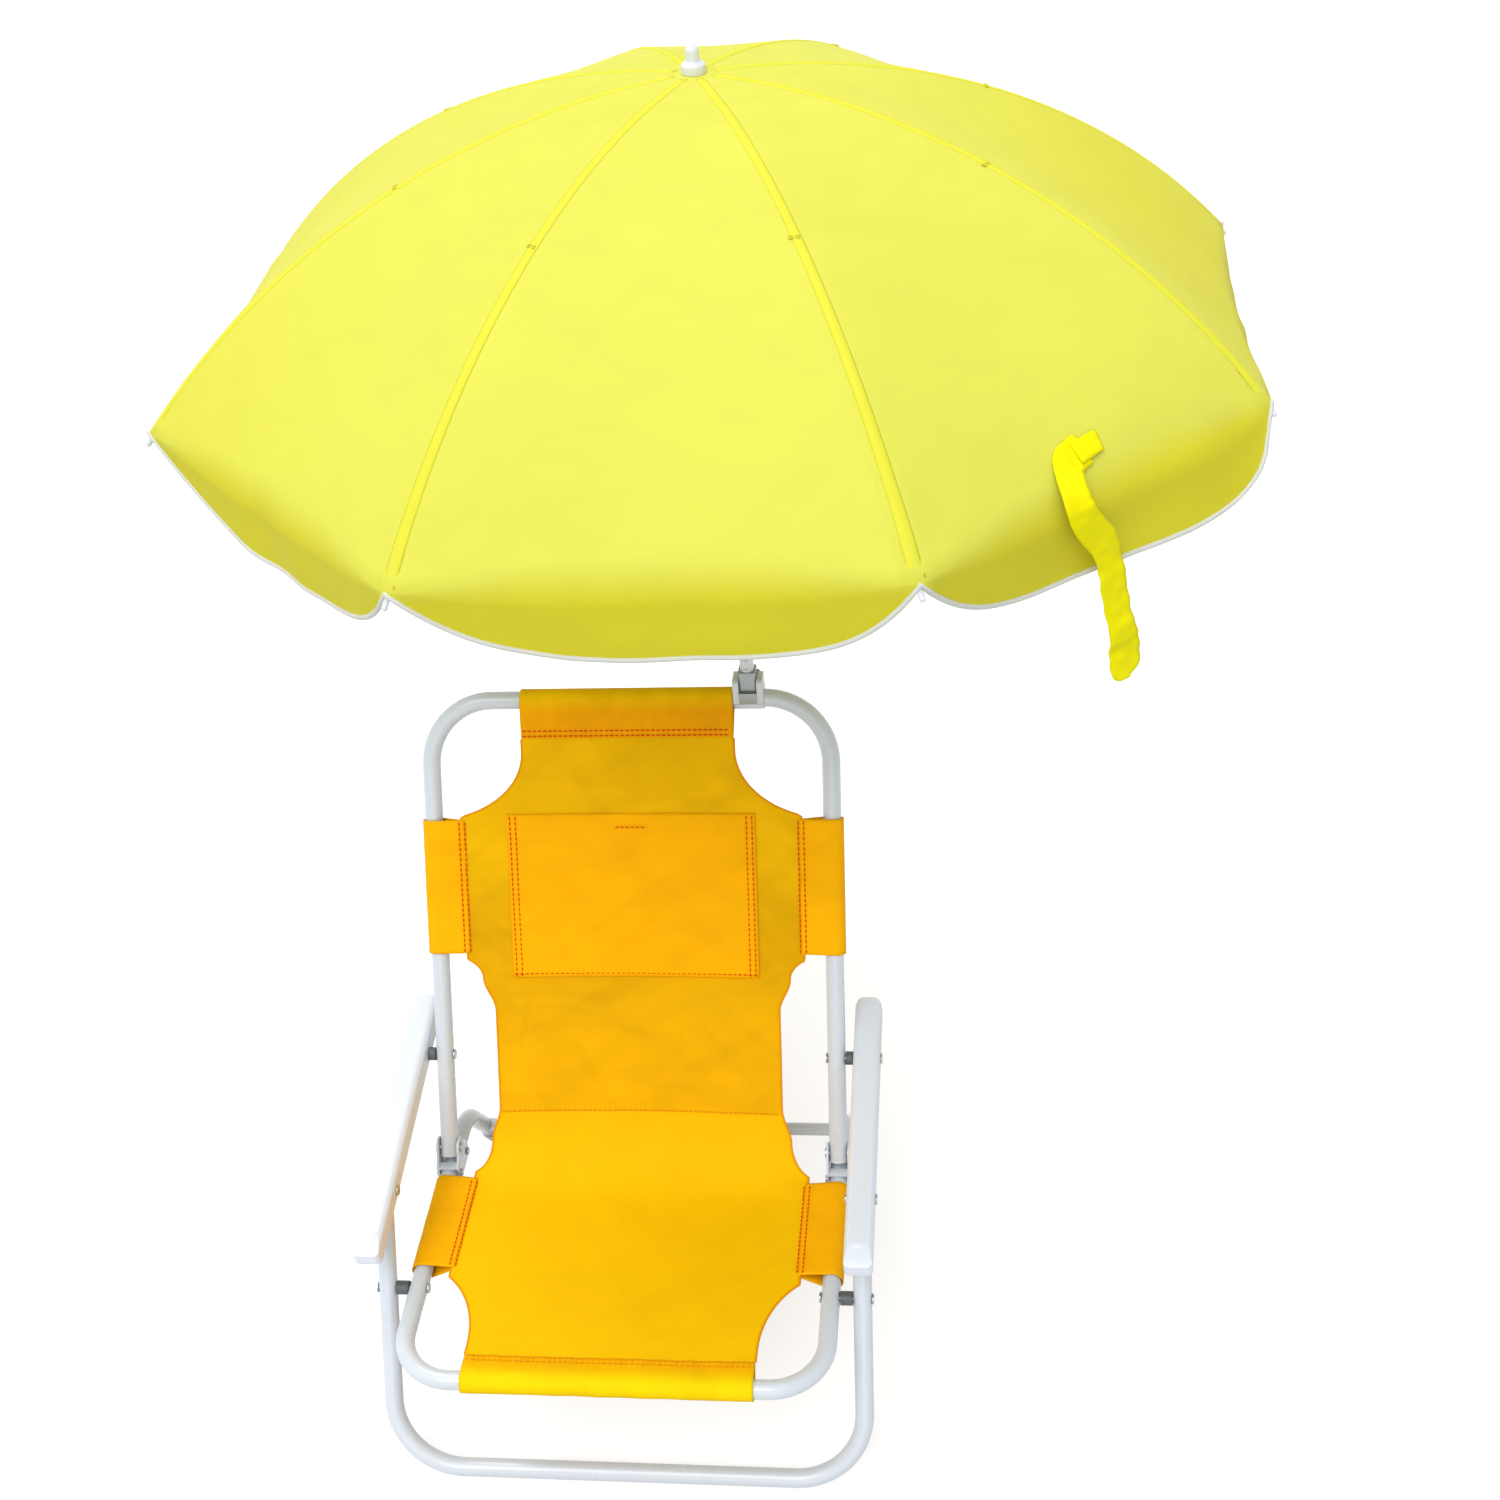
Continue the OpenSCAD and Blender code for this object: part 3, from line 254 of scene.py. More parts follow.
def toneAndShadeGroupTree():    # a colour that is uneven over the piece: random tone, and on the cloth also painted shade of soft folds
    group, source, out = newGroup(
        "toneAndShade", {"Vector": None, "Scale": 12.0, "Amount": 0.06, "Color": white}, ["Color"])
    cloud = addNode(group, "TexNoise", {"Vector": source["Vector"], "Scale": source["Scale"],
                                        "Detail": toneAndShadeSet["detail"]})
    value = swingNode(group, cloud, mathNode(group, "MULTIPLY", source["Amount"], 2.0), 1.0)
    tint = addNode(group, "VectorMath", {0: source["Color"], "Scale": value}, operation="SCALE")
    group.links.new(tint[0], out["Color"])
    return group


def grainGroupTree():    # a fine grain, and a roughness that is smeared here and there
    group, source, out = newGroup(
        "grain", {"Vector": None, "Scale": 900.0, "Rough": 0.4, "Spread": 0.1}, ["Height", "Roughness"])
    fine = addNode(group, "TexNoise", {"Vector": source["Vector"], "Scale": source["Scale"],
                                       "Detail": grainSet["detail"]})
    smear = addNode(group, "TexNoise", {"Vector": source["Vector"], "Scale": grainSet["smearScale"],
                                        "Detail": grainSet["smearDetail"]})
    group.links.new(fine["Fac"], out["Height"])
    group.links.new(swingNode(group, smear, source["Spread"], source["Rough"]), out["Roughness"])
    return group


def creaseShadeGroupTree():    # painted shade of long slanting soft creases, as a factor on the colour
    group, source, out = newGroup("creaseShade", {"Vector": None, "Amount": 0.1}, ["Value"])
    total = None
    for slant, wide, long, where in creaseShadeSet["lays"]:
        lay = addNode(group, "Mapping", {
            "Vector": source["Vector"], "Location": (where, 0, 0), "Rotation": (0, 0, slant),
            "Scale": (wide, long, 1)}, vector_type="TEXTURE")
        cloud = addNode(group, "TexNoise", {
            "Vector": lay[0], "Scale": 1.0, "Detail": creaseShadeSet["detail"],
            "Distortion": creaseShadeSet["distortion"]})
        away = mathNode(group, "ABSOLUTE", mathNode(group, "SUBTRACT", cloud["Fac"], 0.5))
        line = addNode(group, "MapRange", {
            "Value": away, "From Max": creaseShadeSet["lineHalf"], "To Min": creaseShadeSet["lineDark"],
            "To Max": creaseShadeSet["fieldLight"]})[0]
        total = line if total is None else mathNode(group, "ADD", total, line)
    swing = mathNode(group, "MULTIPLY", total, source["Amount"])
    group.links.new(mathNode(group, "ADD", swing, 1.0), out["Value"])
    return group


weaveGroup = weaveGroupTree()
creaseShadeGroup = creaseShadeGroupTree()
toneAndShadeGroup = toneAndShadeGroupTree()
grainGroup = grainGroupTree()


def srgb(r, g, b):    # a colour written as on screen, 0 to 255, made linear
    return (*[(c / 255 / 12.92) if c <= 10 else ((c / 255 + 0.055) / 1.055) ** 2.4 for c in (r, g, b)], 1)


def raiseAndLink(tree, shader, color, skin, height, strength, depth):
    raised = addNode(tree, "Bump", {"Strength": strength, "Distance": depth * mm, "Height": height})
    tree.links.new(color, shader.inputs["Base Color"])
    tree.links.new(skin["Roughness"], shader.inputs["Roughness"])
    tree.links.new(raised[0], shader.inputs["Normal"])


def solidMaterial(name, color, rough, metallic=0.0, coat=0.0, grain=900, bump=0.02, toneAndShade=0.03, specular=0.5):
    material, tree, shader = newMaterial(name, {
        "Metallic": metallic, "Coat Weight": coat, "Coat Roughness": grainSet["coatRough"],
        "Specular IOR Level": specular})
    place = addNode(tree, "TexCoord")["Object"]
    tint = groupNode(tree, toneAndShadeGroup, Vector=place, Scale=toneAndShadeSet["hardScale"], Amount=toneAndShade, Color=srgb(*color))
    skin = groupNode(tree, grainGroup, Vector=place, Scale=grain, Rough=rough, Spread=grainSet["hardSpread"])
    raiseAndLink(tree, shader, tint["Color"], skin, skin["Height"], grainSet["hardStrength"], bump)
    return material


def paintedLightColor(tree, cut, dye, along):    # painted light and shade: colours along one way of the cut, each at its distance in metres
    start, reach = dye[0][0], dye[-1][0] - dye[0][0]
    split = addNode(tree, "SeparateXYZ", {0: cut})
    share = addNode(tree, "MapRange", {"Value": split[along], "From Min": start,
                                       "From Max": dye[-1][0]})
    ramp = newNode(tree, "ValToRGB", {"Fac": share[0]})
    while len(ramp.color_ramp.elements) < len(dye):
        ramp.color_ramp.elements.new(0.5)
    for element, (at, shade) in zip(ramp.color_ramp.elements, dye):
        element.position = (at - start) / reach
        element.color = srgb(*shade)
    return ramp.outputs["Color"]


def clothMaterial(name, color, threads, rough=0.75, bump=0.12, toneAndShade=0.05, creaseShade=0.03, dye=None, along=1,
                  deep=None):
    material, tree, shader = newMaterial(name, {"Specular IOR Level": 0.08})
    cut = addNode(tree, "UVMap", uv_map="cut")[0]
    place = addNode(tree, "TexCoord")["Object"]
    plain = srgb(*color)
    # painted light and shade, as a ramp of colours along the cut
    if dye:
        plain = paintedLightColor(tree, cut, dye, along)
    if deep:    # painted shade: a deeper, darker colour where the cloth's painted-shade mask says so
        mask = addNode(tree, "Attribute", attribute_name="paintedShade")["Fac"]
        plain = addNode(tree, "Mix", {0: mask, 6: plain, 7: srgb(*deep)}, data_type="RGBA")[2]
    # uneven colour: random tone, and painted shade of soft folds
    tint = groupNode(tree, toneAndShadeGroup, Vector=place, Scale=toneAndShadeSet["clothScale"], Amount=toneAndShade, Color=plain)
    weave = groupNode(tree, weaveGroup, Vector=cut, Threads=threads)
    # painted shade of creases, multiplied into the colour
    folds = groupNode(tree, creaseShadeGroup, Vector=cut, Amount=creaseShade)
    skin = groupNode(tree, grainGroup, Vector=place, Scale=grainSet["clothScale"], Rough=rough,
                     Spread=grainSet["clothSpread"])
    dim = mathNode(tree, "MULTIPLY", weave["Gap"], weaveSet["threadMore"])
    dim = mathNode(tree, "ADD", dim, weaveSet["gapShade"])
    dim = mathNode(tree, "MULTIPLY", dim, folds["Value"])
    shaded = addNode(tree, "VectorMath", {0: tint["Color"], "Scale": dim}, operation="SCALE")
    raiseAndLink(tree, shader, shaded[0], skin, weave["Height"], grainSet["clothStrength"], bump)
    return material


threadFinish = {"grain": 3000, "bump": 0.05, "specular": 0.1}
hardLooks = {    # colour as on screen, roughness, and what differs from a plain hard surface
    "framePaint": ((206, 213, 221), 0.28, {"coat": 0.35, "bump": 0.03}),
    "polePaint": ((218, 223, 230), 0.30, {"coat": 0.3, "bump": 0.03}),
    "armPlastic": ((225, 231, 243), 0.38, {"grain": 1600, "bump": 0.05}),
    "whiteNylon": ((216, 220, 226), 0.45, {"grain": 1400, "bump": 0.05}),
    "darkPlastic": ((70, 74, 74), 0.5, {"grain": 1200, "bump": 0.06}),
    # the spacers' and washers' dark grey is painted shade for the gaps between the armrests and the tubes
    "washerPaintedShade": ((84, 88, 90), 0.45, {"grain": 1200, "bump": 0.04}),
    "footRubber": ((180, 184, 189), 0.7, {"grain": 1200, "bump": 0.08}),
    "castZinc": ((150, 157, 156), 0.42, {"metallic": 0.75, "grain": 700, "bump": 0.08, "toneAndShade": 0.08}),
    "platedSteel": ((176, 179, 182), 0.30, {"metallic": 0.9, "grain": 500}),
    "slingEdge": ((230, 150, 0), 0.75, threadFinish),
    "slingThread": ((222, 84, 0), 0.7, threadFinish),
    "canopyThread": ((212, 207, 62), 0.7, threadFinish),
}
clothLooks = {    # colour as on screen, threads a metre, and what differs from plain cloth
    # the seat is painted darker towards the crease: painted shade
    "slingSeat": ((250, 198, 0), 1100, {
        "creaseShade": 0.014, "dye": [(0.2, (250, 197, 0)), (0.3, (243, 182, 0))]}),
    # the front roll has a painted highlight: bright yellow over its front, darker orange towards both edges
    "slingFront": ((250, 214, 0), 1100, {
        "along": 0, "dye": [(0, (246, 184, 0)), (0.011, (248, 188, 0)), (0.019, (250, 214, 0)),
                            (0.035, (250, 214, 0)), (0.046, (246, 178, 0))]}),
    # the back is painted darker over its upper part as a painted shadow of the canopy, and lighter again near the top
    "slingBack": ((248, 184, 0), 1100, {
        "toneAndShade": 0.09, "creaseShade": 0.045,
        "dye": [(0.33, (241, 178, 0)), (0.43, (225, 168, 0)), (0.49, (243, 186, 0))]}),
    "slingSleeve": ((255, 183, 0), 1100, {"toneAndShade": 0.08}),
    # the top sleeve has a painted highlight over the tube's top, darker towards the stitching
    "slingTop": ((255, 178, 0), 1100, {
        "toneAndShade": 0.08, "creaseShade": 0.04, "along": 0,
        "dye": [(0, (255, 174, 0)), (0.022, (255, 172, 0)), (0.036, (255, 200, 0)),
                (0.05, (255, 202, 0)), (0.065, (250, 180, 0))]}),
    "slingPocket": ((255, 182, 0), 1100, {"toneAndShade": 0.08, "creaseShade": 0.032}),
    # the canopy's deeper colour on the hem and the side gores is painted shade
    "canopyCloth": ((213, 213, 84), 2200, {
        "rough": 0.6, "bump": 0.05, "toneAndShade": 0.04, "creaseShade": 0.01, "deep": (213, 206, 48)}),
    "canopySeam": ((217, 215, 62), 2200, {"rough": 0.6, "bump": 0.05, "creaseShade": 0.0}),
    "whiteBinding": ((222, 224, 216), 1500, {"rough": 0.7}),
    "strapWebbing": ((242, 234, 0), 900, {"rough": 0.6, "bump": 0.25}),
}
looks = {name: solidMaterial(name, color, rough, **more) for name, (color, rough, more) in hardLooks.items()}
looks.update({name: clothMaterial(name, color, threads, **more)
              for name, (color, threads, more) in clothLooks.items()})
print("materials made")


# hard pieces: each CAD solid with its edges broken
breakSet = {    # width in mm and segments of a broken edge, then the limits in degrees and metres
    "armrest": (0.8, 4), "tube": (0.25, 2), "moulded": (0.5, 3), "small": (0.25, 2), "wire": (0.0, 0),
    "sharpFrom": 38, "flatUnder": 0.4, "weld": 2e-6,
}
hardPieces = [    # look, material slot, edges, nodes
    ("framePaint", "frame_paint", "tube", "seat_frame rear_crossbar back_frame leg_frame"),
    ("framePaint", "frame_paint", "small", "hinge_brackets"),
    ("footRubber", "foot_rubber", "moulded", "rear_feet"),
    ("platedSteel", "rivet_steel", "small",
     "back_hinge_rivets leg_pivot_rivets arm_rear_rivets arm_front_rivets clamp_screw"),
    ("platedSteel", "rivet_steel", "wire", "crown_wire"),
    # dark grey spacers and washers: painted shade between the armrests and the tubes
    ("washerPaintedShade", "spacer_nylon", "small", "leg_pivot_spacers arm_spacers arm_front_washers"),
    ("whiteNylon", "spacer_nylon", "small", "back_end_plugs"),
    ("armPlastic", "armrest", "armrest", "left_armrest right_armrest"),
    ("whiteNylon", "clamp_nylon", "moulded", "clamp_body clamp_jaw height_collar pole_cap"),
    ("whiteNylon", "clamp_nylon", "small", "runner crown"),
    ("castZinc", "socket_zinc", "moulded", "clamp_socket"),
    ("darkPlastic", "knob_plastic", "moulded", "clamp_knob"),
    ("darkPlastic", "knob_plastic", "small", "collar_screw"),
    ("polePaint", "pole_paint", "tube", "pole_lower pole_upper"),
]
for n in range(1, 9):
    hardPieces += [("platedSteel", "rib_steel", "small", f"rib_{n} stretcher_{n}"),
                   ("whiteNylon", "clamp_nylon", "small", f"rib_tip_{n}")]


def finishPiece(name, bm, look, sharpAngle=None):    # makes a bmesh a shown object of one material
    mesh = bpy.data.meshes.new(name)
    bm.to_mesh(mesh)
    bm.free()
    mesh.materials.append(looks[look])
    mesh.polygons.foreach_set("use_smooth", [True] * len(mesh.polygons))
    if sharpAngle:
        mesh.set_sharp_from_angle(angle=radians(sharpAngle))
    return show(name, mesh)


def onBody(piece, body):
    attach(piece, body)
    return piece


def dressNode(name, look, edges):
    width, segments = breakSet[edges]
    node = frame["nodes"][name]
    bm = bmesh.new()
    bm.from_mesh(node.data)
    bmesh.ops.remove_doubles(bm, verts=bm.verts, dist=breakSet["weld"])
    bmesh.ops.dissolve_limit(bm, angle_limit=radians(breakSet["flatUnder"]), verts=bm.verts,
                             edges=bm.edges, use_dissolve_boundaries=False)
    if width:
        sharpFrom = radians(breakSet["sharpFrom"])
        sharp = [e for e in bm.edges if len(e.link_faces) == 2 and e.calc_face_angle(0) > sharpFrom]
        bmesh.ops.bevel(bm, geom=sharp, offset=width * mm, offset_type="OFFSET", affect="EDGES",
                        segments=segments, profile=0.5, material=-1, clamp_overlap=True)
    first, *rest = name.split("_")
    piece = finishPiece(first + "".join(word.capitalize() for word in rest), bm, look, sharpAngle=35)
    onBody(piece, node["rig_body"])
    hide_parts(name)


for look, slot, edges, nodeNames in hardPieces:
    for nodeName in nodeNames.split():
        dressNode(nodeName, look, edges)
print("hard pieces dressed")


def within(x):    # x, kept from 0 to 1
    return min(1, max(0, x))


def smooth(x):
    x = within(x)
    return x * x * (3 - 2 * x)


def noiseAt(x, y, z):
    return noise.noise(Vector((x, y, z)))


# sling: one length of cloth from the front tube over the crease to the top bar, in mm and degrees
sling = {
    "cloth": 1.1, "sleeveR": 9.3, "bodyHalf": 178.0, "slope": 7.0, "lean": 35.5,
    "seatFront": 92.0, "hingeBack": 143.0, "hingeRise": 20.0, "backLen": 410.0, "creaseR": 50.0,
    "topHalf": 94.0, "frontHalf": 121.0, "waistHalf": 128.0, "kneeHalf": 136.0,
    "frontFlare": (30.0, 108.0), "topFlare": (45.0, 106.0), "waistFrom": 28.0, "waistRun": 32.0,
    "flankMore": 10.0, "flankFlare": 23.0, "flankRun": 30.0,
    "seatSleeve": (109.0, 210.0), "backSleeve": (106.0, 227.0),    # the second from the top bar
    "sideStitch": 150.0, "sideLap": 1.5, "topStitch": 33.0, "frontStitch": 19.0, "barLap": 2.0,
    "middleSeam": 375.0, "blendMore": 8.0, "columns": 116, "rowStep": 2.6,
    "tubeHold": (118.0, 32.0, 26.0),    # the sides stay on the seat's tubes from here, over these runs
    "sag": 16.0, "rumple": 1.0,
}
creases = {    # wide and long, the place in the noise, and the height
    "broad": (55, 90, 3.1, 0.9), "fine": (16, 38, 7.7, 0.25), "atCrease": (22, 140, 1.3, 2.2),
    "creaseReach": 55,
    "rumples": ((0.75, 34, 120, 5.2), (-0.5, 42, 150, 9.6), (3.2, 40, 130, 2.8)),    # slant, wide, long, place
    "ridge": 0.09, "patch": 60, "patchPlace": 20, "onSeat": 0.4, "backFrom": 20, "backRun": 60, "edge": 3,
}
bodyHalf, waistHalf, seatFront, sideStitch, hingeBack, hingeRise, creaseR = (
    sling[key] for key in ("bodyHalf", "waistHalf", "seatFront", "sideStitch", "hingeBack", "hingeRise", "creaseR"))
slope, lean = radians(sling["slope"]), radians(sling["lean"])
seatDir = Vector((0, cos(slope), -sin(slope)))
seatUp = Vector((0, sin(slope), cos(slope)))
turn = pi / 2 - lean + slope
sheetUp = sling["sleeveR"]
cornerT = (sheetUp - hingeRise - sheetUp * cos(turn)) / sin(turn)
cornerQ = hingeBack - sheetUp * sin(turn) + cornerT * cos(turn)
tangent = creaseR * tan(turn / 2)
seatRun = seatFront + cornerQ - tangent
creaseRun = creaseR * turn
slingLen = seatRun + creaseRun + sling["backLen"] - cornerT - tangent
seatLow, seatHigh = sling["seatSleeve"]
backHigh, backLow = (slingLen - down for down in sling["backSleeve"])
front0, front1 = sling["frontFlare"]
top0, top1 = (slingLen - down for down in sling["topFlare"])
waist0 = seatHigh + sling["waistFrom"]
waist1 = waist0 + sling["waistRun"]
flank1 = backLow - sling["flankFlare"]
flank0 = flank1 - sling["flankRun"]
seamS = slingLen - sling["middleSeam"]


def seatPlace(x, y, z):    # a point in the seat's own plane, in mm from the seat pivot
    return Vector((midX, seatPivotAt.y, seatPivotAt.z)) + (Vector((x, 0, 0)) + seatDir * y + seatUp * z) * mm


def slingMiddle(s):    # the sling's middle line at s: y, z and its normal, in the seat's plane
    a = within((s - seatRun) / creaseRun) * turn
    straight = min(0, s - seatRun) + max(0, s - seatRun - creaseRun)
    return (seatRun - seatFront + creaseR * sin(a) + straight * cos(a),
            sheetUp + creaseR * (1 - cos(a)) + straight * sin(a), -sin(a), cos(a))


def ease(a, b, x):    # along a quarter of an ellipse
    return a + (b - a) * (1 - sqrt(max(0, 1 - x * x)))


def blendTo(a, b, x):
    return a + (b - a) * (1 - cos(pi * within(x))) / 2


outline = [    # the half width between two stations, at the one and at the other
    (ease, front0, sling["frontHalf"], front1, bodyHalf), (ease, waist0, sling["kneeHalf"], seatHigh, bodyHalf),
    (blendTo, waist0, sling["kneeHalf"], waist1, waistHalf),
    (blendTo, flank0, waistHalf, flank1, waistHalf + sling["flankMore"]),
    (ease, flank1, waistHalf + sling["flankMore"], backLow, bodyHalf), (ease, top0, sling["topHalf"], top1, bodyHalf),
]


def slingHalf(s):    # half the sling's width at s, out to the side tubes
    for shape, start, half, end, endHalf in outline:
        if s < max(start, end):
            break
    return shape(half, endHalf, within((s - start) / (end - start)))


def creaseNoise(kind, x, s):
    wide, long, place, high = creases[kind]
    return high * noiseAt(x / wide, s / long, place)


def wrinkle(x, s):    # small creases of the slung cloth
    nearCrease = exp(-((s - seatRun - creaseRun / 2) / creases["creaseReach"]) ** 2)
    onBack = within((s - seatRun - creaseRun - creases["backFrom"]) / creases["backRun"])
    rumple = 0.0
    for slant, wide, long, place in creases["rumples"]:
        run = hypot(1, slant)
        ridge = noiseAt((x + slant * s) / run / wide, (s - slant * x) / run / long, place)
        patchy = noiseAt(x / creases["patch"], s / creases["patch"], place + creases["patchPlace"])
        rumple += max(0.0, 1 - abs(ridge) / creases["ridge"]) ** 1.5 * (0.5 + patchy)
    strength = creases["onSeat"] + (1 - creases["onSeat"]) * onBack
    edge = max(0.0, 1 - (x / bodyHalf) ** 2)
    return (creaseNoise("broad", x, s) + creaseNoise("fine", x, s) + nearCrease * creaseNoise("atCrease", x, s)
            + strength * sling["rumple"] * rumple) * min(1, edge * creases["edge"])


def settle(x, s):    # how far the cloth lies above the line between the tubes
    sag = sling["sag"] * (1 - (x / bodyHalf) ** 2) * sin(pi * within(s / slingLen))
    return wrinkle(x, s) - sag


def slingPlace(x, s, lift=0.0):
    y, z, ny, nz = slingMiddle(s)
    holdFrom, holdRun, fadeRun = sling["tubeHold"]
    rise, reach = z - sheetUp, seatHigh + fadeRun
    if 0 < rise and s < reach:
        z -= rise * smooth((abs(x) - holdFrom) / holdRun) * smooth((reach - s) / fadeRun)
    h = lift + settle(x, s)
    return seatPlace(x, y + h * ny, z + h * nz)


def applied(piece):    # the piece's mesh with its modifiers applied
    bpy.context.view_layer.update()
    return bpy.data.meshes.new_from_object(piece.evaluated_get(bpy.context.evaluated_depsgraph_get()))


def addThickness(piece, thickness):
    wall = piece.modifiers.new("thickness", "SOLIDIFY")
    wall.thickness = thickness * mm
    wall.offset = 0.0


def layCloth(name, columns, rows, place, flatPlace, look, thickness=None, closed=False):
    bm = bmesh.new()
    bmesh.ops.create_grid(bm, x_segments=columns, y_segments=rows, size=0.5)
    uv = bm.loops.layers.uv.new("cut")
    flat = {}
    for vert in bm.verts:
        u, v = vert.co.x + 0.5, vert.co.y + 0.5
        flat[vert.index] = flatPlace(u, v)
        vert.co = place(u, v)
    bm.verts.index_update()
    for face in bm.faces:
        for loop in face.loops:
            loop[uv].uv = flat[loop.vert.index]
    if closed:
        bmesh.ops.remove_doubles(bm, verts=bm.verts, dist=1e-5)
    piece = finishPiece(name, bm, look)
    addThickness(piece, thickness or sling["cloth"])
    return piece


slingStations = [0, front0, front1, seatHigh, waist0, flank0, backLow, top1, top0,
                 slingLen - sling["topStitch"] + sling["barLap"]]


def rowShare(a, b, t):    # the rows lie closer together where the outline turns
    if b in (front1, backLow):
        return sin(pi / 2 * t)
    if a in (seatHigh, top1):
        return 1 - cos(pi / 2 * t)
    return t


slingRows = []
for a, b in zip(slingStations, slingStations[1:]):
    count = max(2, round((b - a) / sling["rowStep"]))
    slingRows += [a + (b - a) * rowShare(a, b, i / count) for i in range(count)]
slingRows.append(slingStations[-1])


def sheetHalf(s):
    return min(sideStitch + sling["sideLap"], slingHalf(s))


def overCrease(piece):    # bakes the piece in place; the places at the crease's two ends are worked out and not used
    slingPlace(0, seatRun - sling["blendMore"])
    slingPlace(0, seatRun + creaseRun + sling["blendMore"])
    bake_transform(piece)


def makeSlingSheet():
    last = len(slingRows) - 1

    def cutAt(u, v):
        s = max(sling["frontStitch"] - sling["barLap"], slingRows[min(last, round(v * last))])
        return (2 * u - 1) * sheetHalf(s), s

    sheet = layCloth("slingSheet", sling["columns"], last, lambda u, v: slingPlace(*cutAt(u, v)),
                     lambda u, v: [c * mm for c in cutAt(u, v)], "slingSeat")
    mesh = sheet.data
    mesh.materials.append(looks["slingBack"])
    for face in mesh.polygons:
        rows = [mesh.uv_layers["cut"].data[i].uv[1] for i in face.loop_indices]
        face.material_index = 1 if sum(rows) / len(rows) / mm > seamS else 0
    overCrease(sheet)
    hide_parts("sling_seat", "sling_crease", "sling_back")
    return sheet


slingSheet = makeSlingSheet()
print("sling sheet laid")

# sleeves round the tubes
sleeveSet = {
    "loose": 0.25, "barLoose": 0.2, "under": 1.6, "inset": 1.0, "lift": 0.4, "step": 3,
    "sideColumns": 44, "barColumns": 40, "settleReach": 12,
    "side": (0.25, 3.1, 6, 0.7, 10), "bar": (0.3, 3.3, 5, 0.6, 8),    # pucker, pitch, reach, slack, from
}


def wrapPlace(t, r, flatRun):
    # across a sleeve: out from the stitch line over the tube, round it, and straight back to the stitch
    # line from under it. Gives the distance out and the height over the tube's middle, in mm
    under = r - sleeveSet["under"]
    apart = hypot(flatRun, under)
    wrapped = 1.5 * pi + atan2(under, flatRun) - acos(r / apart)
    arc = wrapped * r
    straight = sqrt(apart ** 2 - r ** 2)
    total = flatRun + arc + straight
    d = t * total
    if d < flatRun:
        return d, r, total
    if d < flatRun + arc:
        a = (d - flatRun) / r
        return flatRun + r * sin(a), r * cos(a), total
    back = (d - flatRun - arc) / straight
    leaveOut, leaveHigh = flatRun + r * sin(wrapped), r * cos(wrapped)
    return leaveOut * (1 - back), leaveHigh + (under - leaveHigh) * back, total


def looseness(kind, along, out, where):    # puckers at the stitching, and slack over the tube
    pucker, pitch, reach, slack, slackFrom = sleeveSet[kind]
    puckered = pucker * sin(along / pitch) * exp(-out / reach)
    return sleeveSet["lift"] + puckered + slack * noiseAt(*where) * min(1, out / slackFrom)


def sewSleeve(piece, flipped, body, wide):
    if flipped:
        piece.data.flip_normals()
    onBody(piece, body)


def sideSleeve(name, side, s0, s1, body):
    run = bodyHalf - sideStitch + sleeveSet["inset"]
    r = sling["sleeveR"] + sleeveSet["loose"]
    total = wrapPlace(0, r, run)[2]

    def place(u, v):
        s = s0 + (s1 - s0) * v
        out, high, _ = wrapPlace(u, r, run)
        x = sideStitch - sleeveSet["inset"] + out
        y, z, ny, nz = slingMiddle(s) if body == "back" else (s - seatFront, sheetUp, 0.0, 1.0)
        h = high - sheetUp + settle(min(x, bodyHalf), s)
        h += looseness("side", s, out, (u * 5, s / 14, 2.0 + side))
        return seatPlace(side * x, y + h * ny, z + h * nz)

    piece = layCloth(name, sleeveSet["sideColumns"], max(8, round((s1 - s0) / sleeveSet["step"])), place,
                     lambda u, v: (u * total * mm, (s0 + (s1 - s0) * v) * mm), "slingSleeve")
    sewSleeve(piece, side < 0, body, total)


for sideName, side in (("Left", 1), ("Right", -1)):
    sideSleeve("seatSleeve" + sideName, side, seatLow, seatHigh, "seat_frame")
    sideSleeve("backSleeve" + sideName, side, backLow, backHigh, "back")


def barSleeve(name, half, atFront, stitch, body, look):
    r = sling["sleeveR"] + sleeveSet["barLoose"]
    total = wrapPlace(0, r, stitch)[2]

    def place(u, v):
        x = (2 * v - 1) * half
        out, high, _ = wrapPlace(u, r, stitch)
        h = high + looseness("bar", x, out, (x / 18, u * 5, 9.0))
        h += settle(x, stitch if atFront else slingLen - stitch) * exp(-(out / sleeveSet["settleReach"]) ** 2)
        if atFront:
            return seatPlace(x, -seatFront + stitch - out, h)
        t = sling["backLen"] - stitch + out
        return seatPlace(x, hingeBack + t * cos(turn) - h * sin(turn),
                         hingeRise + t * sin(turn) + h * cos(turn))

    piece = layCloth(name, sleeveSet["barColumns"], round(2 * half / sleeveSet["step"]), place,
                     lambda u, v: (u * total * mm, (2 * v - 1) * half * mm), look)
    sewSleeve(piece, atFront, body, total)


barSleeve("frontSleeve", sling["frontHalf"], True, sling["frontStitch"], "seat_frame", "slingFront")
barSleeve("topSleeve", sling["topHalf"], False, sling["topStitch"], "back", "slingTop")

slingArea = sum(2 * sheetHalf((a + b) / 2) * (b - a) for a, b in zip(slingRows, slingRows[1:])) * mm * mm

pocket = {"half": 111.0, "top": 101.0, "length": 149.0, "lift": 1.5, "bow": 1.6, "fuller": 0.5, "bowEnd": 0.15,
          "columns": 64, "rows": 44}
pocketHigh = slingLen - pocket["top"]
pocketLow = pocketHigh - pocket["length"]


